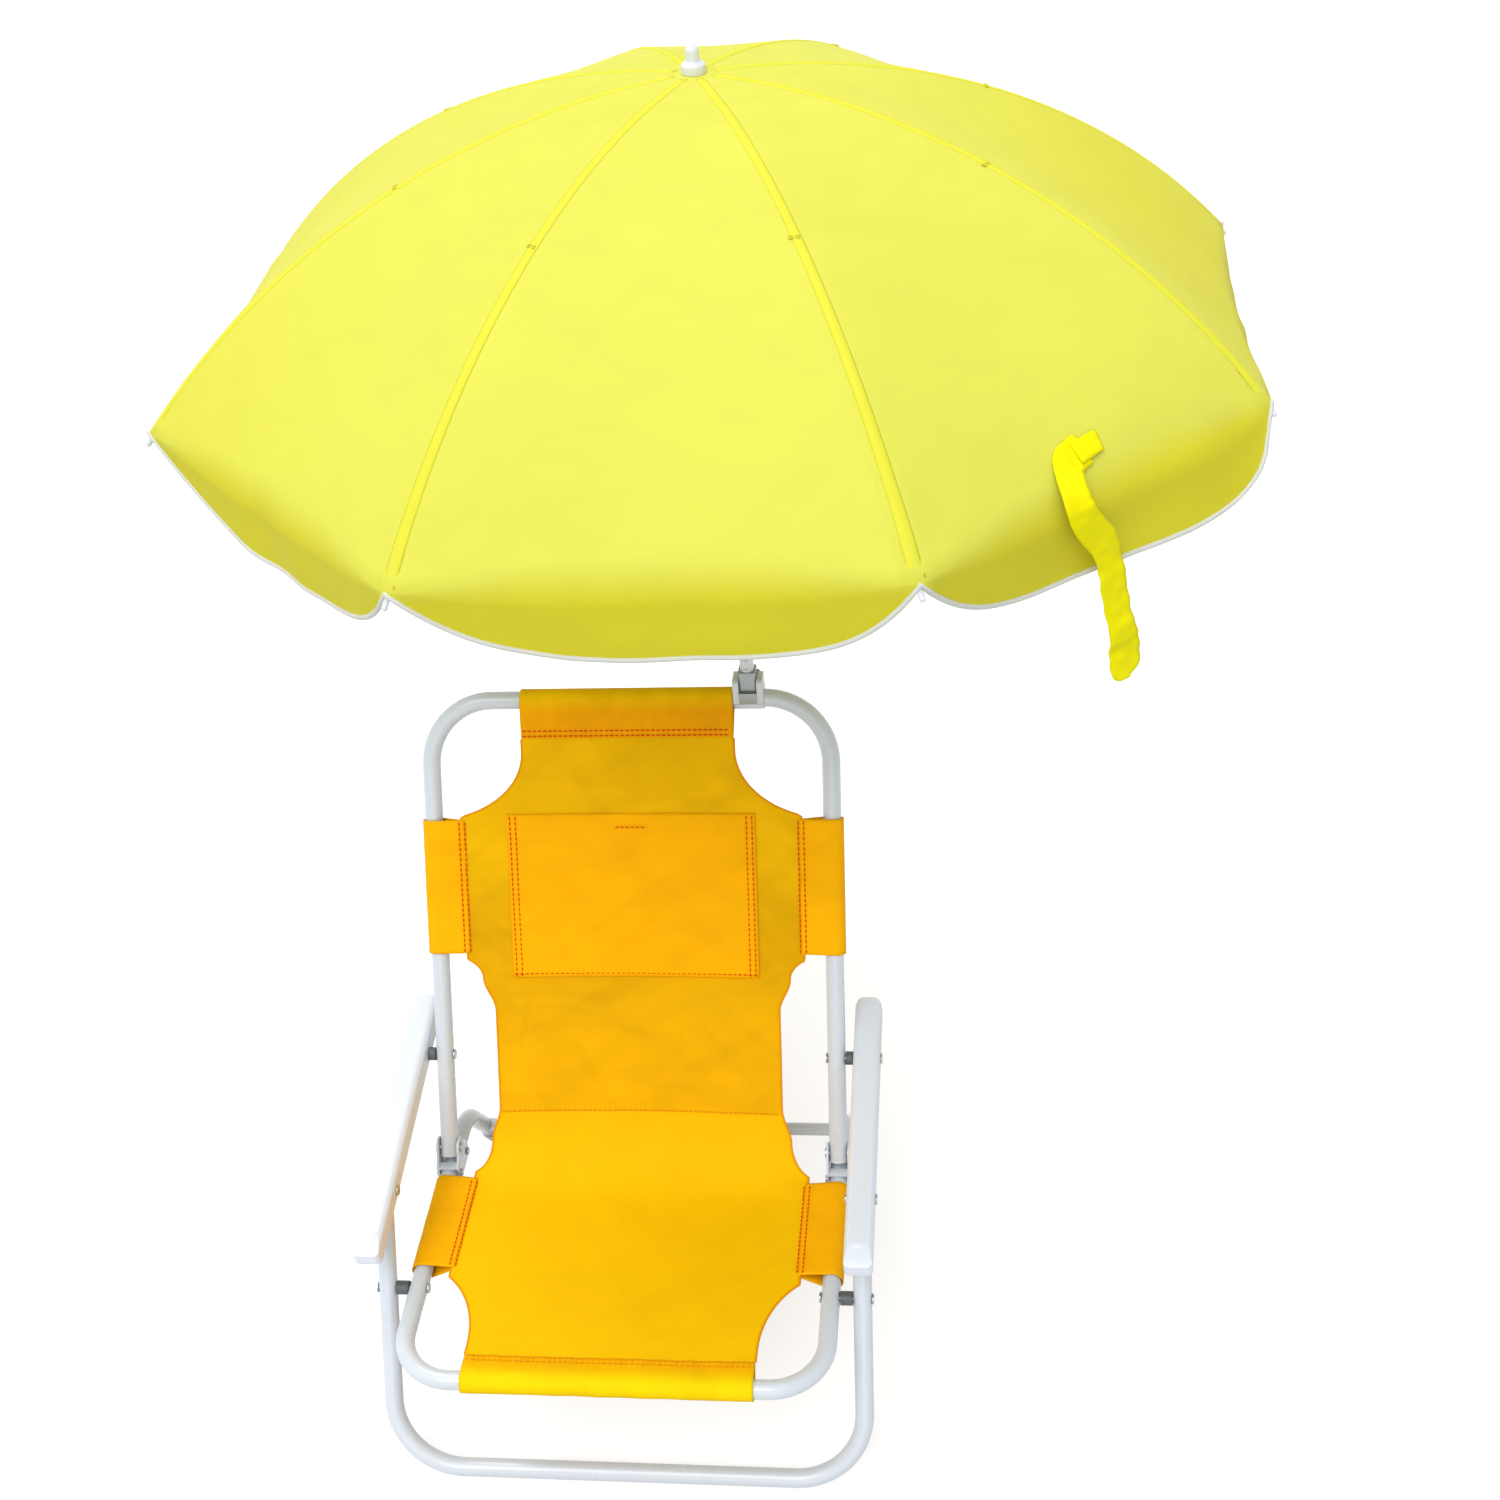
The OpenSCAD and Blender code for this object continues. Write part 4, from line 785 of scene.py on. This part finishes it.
def pocketPlace(u, v):
    bow = 0
    if 0 < u < 1:
        bow = (pocket["bow"] * sin(pi * u) ** pocket["fuller"]
               * sin(pi * min(1, v + pocket["bowEnd"])))
    return slingPlace((2 * u - 1) * pocket["half"], pocketHigh - pocket["length"] * (1 - v), pocket["lift"] + bow)


pocketPanel = layCloth("pocketPanel", pocket["columns"], pocket["rows"], pocketPlace,
                       lambda u, v: ((2 * u - 1) * pocket["half"] * mm, v * pocket["length"] * mm), "slingPocket")
onBody(pocketPanel, "back")
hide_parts("back_pocket")
print("sleeves and pocket made")

# bound edges and stitching
edgeSet = {"radius": 1.0, "step": 2, "out": 0.2}
stitchSet = {
    "pitch": 4.6, "length": 3.7, "radius": 0.72, "lift": 0.25, "step": 2.5, "inset": 3,
    "sides": (148.5, 153.5), "front": (13.5, 17.5), "top": (26.5, 31.0), "pocket": (3, 8), "tab": (-12, 14, 113),
    "sideLift": 1.6, "frontLift": 1.4, "topLift": 1.5, "pocketLift": 0.8, "tabLift": 3, "middleLift": 0.7,
}


def sweep(name, lines, radius, look):    # round bindings along lists of points
    curve = bpy.data.curves.new(name, "CURVE")
    curve.dimensions = "3D"
    for places in lines:
        spline = curve.splines.new("POLY")
        spline.points.add(len(places) - 1)
        for point, place in zip(spline.points, places):
            point.co = (*place, 1)
    curve.bevel_depth = radius * mm
    curve.bevel_resolution = 2
    curve.use_fill_caps = True
    line = show(name + "Line", curve)
    mesh = applied(line)
    bpy.data.objects.remove(line)
    mesh.name = name
    mesh.materials.clear()
    mesh.materials.append(looks[look])
    mesh.polygons.foreach_set("use_smooth", [True] * len(mesh.polygons))
    if not mesh.uv_layers:
        mesh.uv_layers.new(name="cut")
    mesh.uv_layers[0].name = "cut"
    return show(name, mesh)


def edgeLines(s0, s1):
    count = round((s1 - s0) / edgeSet["step"])
    stations = [s0 + (s1 - s0) * i / count for i in range(count + 1)]
    return [[slingPlace(side * (sheetHalf(s) + edgeSet["out"]), s) for s in stations] for side in (-1, 1)]


for name, s0, s1, body in (("frontEdges", sling["frontStitch"] + 1, seatLow, "seat_frame"),
                           ("neckEdges", backHigh, slingLen - sling["topStitch"] - 1, "back"),
                           ("waistEdges", seatHigh, backLow, None)):
    edges = sweep(name, edgeLines(s0, s1), edgeSet["radius"], "slingEdge")
    if body:
        onBody(edges, body)
    else:
        overCrease(edges)


def stitchRun(bm, places):    # short threads along a line of points and normals
    walked, nextAt = 0.0, 0.0
    size = Matrix.Diagonal((stitchSet["length"] / 2 * mm, stitchSet["radius"] * mm, stitchSet["radius"] * mm, 1))
    lying = Matrix.Rotation(pi / 2, 3, "Y")
    for (a, na), (b, nb) in zip(places, places[1:]):
        step = (b - a).length
        while nextAt <= walked + step:
            t = (nextAt - walked) / step if step else 0
            along = (b - a).normalized()
            out = na.lerp(nb, t).normalized()
            place = Matrix((along, along.cross(out).normalized(), out)).transposed().to_4x4()
            place.translation = a.lerp(b, t) + out * stitchSet["lift"] * mm
            thread = bmesh.ops.create_uvsphere(bm, u_segments=6, v_segments=4, radius=1.0)["verts"]
            bmesh.ops.rotate(bm, verts=thread, cent=(0, 0, 0), matrix=lying)
            bmesh.ops.transform(bm, matrix=place @ size, verts=thread)
            nextAt += stitchSet["pitch"] * mm
        walked += step


def onSling(x, s, lift):
    a, b, c = slingPlace(x, s, lift), slingPlace(x + 1, s, lift), slingPlace(x, s + 1, lift)
    return a, (b - a).cross(c - a).normalized()


def slingLine(x0, s0, x1, s1, lift):
    count = max(2, round(hypot(x1 - x0, s1 - s0) / stitchSet["step"]))
    return [onSling(x0 + (x1 - x0) * i / count, s0 + (s1 - s0) * i / count, lift) for i in range(count + 1)]


def acrossLine(half, s, lift):
    return slingLine(-half + stitchSet["inset"], s, half - stitchSet["inset"], s, lift)


def upLine(x, s0, s1, lift):
    return slingLine(x, s0 + stitchSet["inset"], x, s1 - stitchSet["inset"], lift)


def stitchPiece(name, runs, body, look="slingThread"):
    bm = bmesh.new()
    for run in runs:
        stitchRun(bm, run)
    onBody(finishPiece(name, bm, look), body)


seatRuns, backRuns = [], []
for side in (-1, 1):
    for x in stitchSet["sides"]:
        seatRuns.append(upLine(side * x, seatLow, seatHigh, stitchSet["sideLift"]))
        backRuns.append(upLine(side * x, backLow, backHigh, stitchSet["sideLift"]))
backRuns += [acrossLine(sling["topHalf"], slingLen - v, stitchSet["topLift"]) for v in stitchSet["top"]]
pocketLift = pocket["lift"] + stitchSet["pocketLift"]
for side in (-1, 1):
    for inside in stitchSet["pocket"]:
        backRuns.append(upLine(side * (pocket["half"] - inside), pocketLow, pocketHigh, pocketLift))
backRuns.append(acrossLine(pocket["half"], pocketLow + stitchSet["inset"], pocketLift))
tabFrom, tabTo, tabDown = stitchSet["tab"]
backRuns.append(slingLine(tabFrom, slingLen - tabDown, tabTo, slingLen - tabDown,
                          pocket["lift"] + stitchSet["tabLift"]))
stitchPiece("seatStitches", seatRuns, "seat_frame")
stitchPiece("frontStitches", [acrossLine(sling["frontHalf"], s, stitchSet["frontLift"]) for s in stitchSet["front"]],
            "seat_frame", "slingEdge")
stitchPiece("backStitches", backRuns, "back")
stitchPiece("middleStitches", [acrossLine(waistHalf, seamS, stitchSet["middleLift"])],
            "back", "slingEdge")
print("sling stitched")

# canopy: in mm in the pole's frame, rows from 0 at the top to 1 at the rim and 2 at the hem's edge
canopy = {
    "rimR": 429.0, "domeH": 189.0, "rimUp": 348.0, "hemDrop": 51.0, "holeR": 6.0, "tuck": 0.12,
    "ribCount": 8, "cloth": 0.5, "sag": 5.0, "columns": 32, "domeRows": 44, "hemRows": 8,
    "hemEnd": (4.0, 4.6),    # how square the hem's corners hang, at a gore's first and last rib
    "hemEnds": {5: (2.4, 4.6), 6: (3.8, 6.0), 7: (4.2, 11.0)}, "hemMore": {7: 12.0}, "flare": {7: 12.0},
    "flareFrom": 0.35, "flareRun": 0.4, "flareEnd": 0.04, "pinch": 0.55, "pinchRow": 1.04, "pinchReach": 0.11,
    "rimSoft": 0.14, "hemWave": 5.0, "hemWaves": 8, "waveFrom": 0.8, "ripple": 1.4, "ripples": 3,
    "pucker": 1.5, "puckerFans": 5, "puckerFrom": 12, "puckerReach": 46, "foldedKeep": 0.21,
    "petalFlat": (0.34, 0.52), "bindingR": 1.9,
}
paintedShadeSet = {    # where the painted shade's deeper colour starts, over how many mm, and its share
    "hem": (6, 16), "behind": (5, 50), "behindSlant": 0.414, "right": (120, 200, 0.6), "left": (200, 160, 0.25),
}
domeRho = (canopy["rimR"] ** 2 + canopy["domeH"] ** 2) / (2 * canopy["domeH"])
domeMid = canopy["rimUp"] + canopy["domeH"] - domeRho
rimAngle = asin(canopy["rimR"] / domeRho)
holeAngle = asin(canopy["holeR"] / domeRho)
ribStep = 2 * pi / canopy["ribCount"]
poleSide = Vector((1, 0, 0))
poleBack = poleUp.cross(poleSide)


def polePlace(x, y, z):    # a point in the pole's frame, in mm from the top bar
    return topBarAt + (poleSide * x + poleBack * y + poleUp * z) * mm


def inPole(place):
    out = (place - topBarAt) / mm
    return out.dot(poleSide), out.dot(poleBack), out.dot(poleUp)


def ribAt(n):
    return ribStep * (n - 0.5)


def goreCut(part):    # the cloth lies straight from rib to rib
    half = ribStep / 2
    return cos(half) / cos(half - ribStep * min(part, 1 - part))


def hemDropAt(gore, share):
    first, last = canopy["hemEnds"].get(gore, canopy["hemEnd"])
    more = canopy["hemMore"].get(gore, 0.0) * share
    return (canopy["hemDrop"] + more) * (1 - abs(2 * share - 1) ** (first if share < 0.5 else last))


def puckerAt(part, row):    # creases that fan out from a rib's tip
    up, across = (1 - min(1, row)) * domeRho * rimAngle, part * ribStep * canopy["rimR"]
    fromTip = hypot(across, up)
    fan = sin(canopy["puckerFans"] * atan2(up, across + 0.01))
    near = min(1, fromTip / canopy["puckerFrom"]) * exp(-(fromTip / canopy["puckerReach"]) ** 2)
    return canopy["pucker"] * fan * near * min(1, part * 30)


def flareAt(gore, share, row):    # the corner that stands out below the rim, and is pinched just over it
    run = within((share - canopy["flareFrom"]) / canopy["flareRun"])
    side = run * min(1, (1 - share) / canopy["flareEnd"]) * canopy["flare"].get(gore, 0.0)
    pinch = exp(-((row - canopy["pinchRow"]) / canopy["pinchReach"]) ** 2)
    return side * (max(0, row - 1) ** 1.5 - canopy["pinch"] * pinch)


def canopyPlace(turnFromRib, row, lift, n):    # a point on the canopy, by its turn from rib n
    part = abs(turnFromRib) / ribStep
    az = ribAt(n) + turnFromRib
    gore, share = divmod((az / ribStep + 0.5) % canopy["ribCount"], 1)
    middle = sin(pi * part) ** 2
    soft = max(0, 1 - abs(row - 1) / canopy["rimSoft"])    # the cloth bends over the rim between the ribs
    softened = min(1, row) - canopy["rimSoft"] / 4 * soft * soft * min(1, middle * 2)
    a = holeAngle + (rimAngle - holeAngle) * softened
    drop = max(0, row - 1) * hemDropAt(int(gore), share)
    rho = domeRho + lift
    sag = canopy["sag"] * middle * sin(min(1, row) * pi * 0.62) ** 2
    ripples, waves = canopy["ripples"], canopy["hemWaves"]
    ripple = noiseAt(cos(az) * ripples, sin(az) * ripples, row * 2.6) * canopy["ripple"] * min(1, row)
    folds = noiseAt(cos(az) * waves, sin(az) * waves, 4.4 + row * 0.5) * canopy["hemWave"]
    folds *= min(1, max(0, row - canopy["waveFrom"]) * 2.5)
    pucker = puckerAt(part, row)
    r = (rho * sin(a) - drop * canopy["tuck"]) * goreCut(part)
    r += (ripple + folds) * middle - sag * 0.6 + pucker * 0.7 + flareAt(int(gore), share, row)
    z = domeMid + rho * cos(a) - drop - sag * 0.8 + pucker * 0.5
    return polePlace(r * cos(az), r * sin(az), z)


def paintedShadeAt(place):    # painted shade: the hem, the far right side and a little of the left side have a deeper, darker colour
    x, y, z = inPole(place)
    (hemUp, hemRun), (behindFrom, behindRun) = paintedShadeSet["hem"], paintedShadeSet["behind"]
    sideFrom, sideRun, amount = paintedShadeSet["right" if x > 0 else "left"]
    sides = amount * smooth((abs(x) - sideFrom) / sideRun)
    if x > 0:
        sides *= smooth((y + paintedShadeSet["behindSlant"] * x - behindFrom) / behindRun)
    return max(smooth((canopy["rimUp"] + hemUp - z) / hemRun), sides)


def wholeShell():
    ribs, rows = canopy["ribCount"], canopy["domeRows"] + canopy["hemRows"]
    edge = canopy["domeRows"] / rows

    def rowOf(v):
        v = 1 - v
        return v / edge if v < edge else 1 + (v - edge) / (1 - edge)

    def place(u, v):
        gore = min(ribs - 1, int(u * ribs + 1e-6))
        part = u * ribs - gore
        nearRib = gore if part < 0.5 else gore + 1
        return canopyPlace((part if part < 0.5 else part - 1) * ribStep, rowOf(v), 0, nearRib)

    def flatOf(u, v):
        row, part = rowOf(v), (u * ribs) % 1
        reach = domeRho * rimAngle * min(1, row) + max(0, row - 1) * canopy["hemDrop"]
        return (part - 0.5) * ribStep * domeRho * sin(rimAngle * min(1, row)) * mm, reach * mm

    shell = layCloth("canopyShell", canopy["columns"] * ribs, rows, place, flatOf, "canopyCloth", closed=True)
    whole = shell.data
    bpy.data.objects.remove(shell)
    whole.attributes.new("wholeNormal", "FLOAT_VECTOR", "POINT")
    whole.attributes.new("paintedShade", "FLOAT", "POINT")
    normals, paintedShade = whole.attributes["wholeNormal"], whole.attributes["paintedShade"]    # only once both are there
    for vert in whole.vertices:
        normals.data[vert.index].vector = vert.normal
        paintedShade.data[vert.index].value = paintedShadeAt(vert.co)
    return whole


def petalOf(whole, n):    # the part of the shell that is nearest to rib n
    bm = bmesh.new()
    bm.from_mesh(whole)
    far = []
    for face in bm.faces:
        x, y, _ = inPole(face.calc_center_median())
        away = (atan2(y, x) - ribAt(n) + pi) % (2 * pi) - pi
        if abs(away) > ribStep / 2:
            far.append(face)
    bmesh.ops.delete(bm, geom=far, context="FACES")
    petal = finishPiece(f"canopyPetal{n}", bm, "canopyCloth")
    addThickness(petal, canopy["cloth"])
    petal.data = applied(petal)
    petal.modifiers.clear()
    mesh = petal.data
    outward = [d.vector.copy() for d in mesh.attributes["wholeNormal"].data]
    mesh.normals_split_custom_set_from_vertices(
        [o if o.dot(vert.normal) > 0 else -o for o, vert in zip(outward, mesh.vertices)])
    mesh.attributes.remove(mesh.attributes["wholeNormal"])
    return petal


def foldWithRib(piece, n):    # rides on its rib
    onBody(piece, f"rib_{n}")
    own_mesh(piece)


seam = {"width": 7.0, "high": 0.35, "lift": 0.15, "endLift": 0.25, "from": 0.02, "run": 0.975, "cloth": 0.3,
        "columns": 6, "rows": 90, "tieRow": 0.47, "tieHalf": 0.8, "tieLift": 0.5}


def seamStrip(n):    # the strip that covers rib n
    def place(u, v):
        row, side = seam["from"] + seam["run"] * v, 2 * u - 1
        r = domeRho * sin(holeAngle + (rimAngle - holeAngle) * row)
        across = side * seam["width"] / 2 * (1 + 0.5 * row ** 4)
        end = v ** 10
        high = (seam["high"] * (1 - side ** 4) + seam["lift"]) * (1 - end) - seam["endLift"] * end
        return canopyPlace(atan2(across, r), row, high, n)

    strip = layCloth(f"canopySeam{n}", seam["columns"], seam["rows"], place,
                     lambda u, v: (u * seam["width"] * mm, v * domeRho * rimAngle * mm),
                     "canopySeam", thickness=seam["cloth"])
    onBody(strip, f"rib_{n}")


def seamTie(n):    # the thread that ties the seam to the rib at its middle
    bm = bmesh.new()
    for across in (-seam["tieHalf"], seam["tieHalf"]):
        row = seam["tieRow"] + across / 450
        ends = [canopyPlace(w / 200, row, seam["high"] + seam["tieLift"], n) for w in (-3.5, -1.2, 1.2, 3.5)]
        out = (ends[1] - polePlace(0, 0, 0)).normalized()
        stitchRun(bm, [(end, out) for end in ends])
    onBody(finishPiece(f"seamTie{n}", bm, "canopyThread"), f"rib_{n}")


canopyWhole = wholeShell()
for n in range(1, canopy["ribCount"] + 1):
    petal = petalOf(canopyWhole, n)
    foldWithRib(petal, n)
    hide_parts("canopy")
    seamStrip(n)
    seamTie(n)
for n in range(1, canopy["ribCount"] + 1):
    line = [canopyPlace((i / 60 - 0.5) * ribStep, 2.0, 0, n) for i in range(61)]
    foldWithRib(sweep(f"hemBinding{n}", [line], canopy["bindingR"], "whiteBinding"), n)
print("canopy made")

# tie strap
strap = {
    "azimuth": -45.0, "rib": 8, "width": 23.0, "cloth": 0.9, "hang": 93.0, "foldedKeep": 0.07,
    "start": [(0.505, 0.950), (0.470, 0.957), (0.443, 0.969)],    # share of the gore and row, on the canopy
    "lie": [(-1.2, -28, 4), (4.2, -27, -8),
            (5.3, -20, -20), (5.3, -9, -34), (5.0, -2, -50)],    # from the middle of the gore's rim
    "fall": (0.1, 0.14, -0.985), "lift": 0.9, "columns": 8, "rows": 110,
    "roundFrom": 0.955, "roundRun": 0.0455, "wideFrom": 0.72, "widen": 0.22, "hangFrom": 0.45,
    "patch": [(0.475, 0.930), (0.560, 0.927), (0.557, 0.975), (0.482, 0.984)],    # share of the gore and row
    "patchRows": 12, "patchLift": 2.7, "patchTilt": 0.9, "patchEdge": 0.12,
}
strapTurn = radians(strap["azimuth"])


def onGore(share, row, lift):    # a point on the gore that the strap hangs from
    return canopyPlace((share - 1) * ribStep, row, lift, strap["rib"])


def strapPoints():    # the strap's middle line, with x straight out from the pole
    points = []
    for share, row in strap["start"]:
        x, y, z = inPole(onGore(share, row, strap["lift"]))
        points.append(Vector((x * cos(strapTurn) + y * sin(strapTurn),
                              y * cos(strapTurn) - x * sin(strapTurn), z)))
    rimMiddle = Vector((canopy["rimR"] * cos(ribStep / 2), 0, canopy["rimUp"]))
    points += [rimMiddle + Vector(p) for p in strap["lie"]]
    return points + [points[-1] + Vector(strap["fall"]) * strap["hang"] * i / 5 for i in range(1, 6)]


def makeStrap():
    points = strapPoints()
    last = len(points) - 1

    def at(v):    # a smooth curve through the points
        i = min(last - 1, int(v * last))
        t = v * last - i
        p0, p1, p2, p3 = points[max(0, i - 1)], points[i], points[i + 1], points[min(last, i + 2)]
        return 0.5 * (2 * p1 + (p2 - p0) * t + (2 * p0 - 5 * p1 + 4 * p2 - p3) * t * t
                      + (3 * p1 - p0 - 3 * p2 + p3) * t ** 3)

    def place(u, v):
        p = at(v)
        along = (at(min(1, v + 0.02)) - at(max(0, v - 0.02))).normalized()
        onCloth = within((p.z - canopy["rimUp"] + 6) / 12)
        out = (Vector((0.75, 0, 0.66)) * onCloth + Vector((1, 0, 0)) * (1 - onCloth)).normalized()
        past = max(0, v - strap["roundFrom"]) / strap["roundRun"]
        wide = max(0, 1 - past ** 2) ** 0.5 * (1 + strap["widen"] * smooth((v - strap["wideFrom"]) / 0.25))
        hung = max(0, v - strap["hangFrom"])
        across = (2 * u - 1) * strap["width"] / 2 * wide + 3.5 * noiseAt(0.5, v * 7, 1.7) * hung
        ripple = 2.4 * sin(v * 31 + u * 1.5) * hung + 0.5
        crinkle = noiseAt(u * 2.6 + v * 9, v * 24, 8.8) * (0.8 + 5.0 * hung) * (1 - 0.8 * smooth((v - 0.9) / 0.1))
        q = p + along.cross(out).normalized() * across + out * (ripple + crinkle + 0.4)
        return polePlace(q.x * cos(strapTurn) - q.y * sin(strapTurn),
                         q.x * sin(strapTurn) + q.y * cos(strapTurn), q.z)

    length = sum((b - a).length for a, b in zip(points, points[1:]))
    piece = layCloth("tieStrap", strap["columns"], strap["rows"], place,
                     lambda u, v: (u * strap["width"] * mm, v * length * mm), "strapWebbing", strap["cloth"])
    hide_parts("tie_strap")
    return piece


def makeStrapPatch():    # the square that sews the strap down, with a turned edge
    a, b, c, d = (Vector(corner) for corner in strap["patch"])

    def place(u, v):
        share, row = (a * (1 - u) + b * u) * (1 - v) + (d * (1 - u) + c * u) * v
        edge = max(0, 1 - min(u, 1 - u, v, 1 - v) / strap["patchEdge"])
        high = strap["patchLift"] + strap["patchTilt"] * (1 - u - edge) + 0.4 * noiseAt(u * 3, v * 3, 6.0)
        return onGore(share, row, high)

    wide, long = (place(1, 0.5) - place(0, 0.5)).length, (place(0.5, 1) - place(0.5, 0)).length
    piece = layCloth("strapPatch", strap["patchRows"], strap["patchRows"], place,
                     lambda u, v: (u * wide, v * long), "strapWebbing", strap["cloth"])
    return piece


# the strap and its patch ride on the runner, which the folding canopy takes down
for piece in (makeStrap(), makeStrapPatch()):
    onBody(piece, "runner")
    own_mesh(piece)
print("strap made")
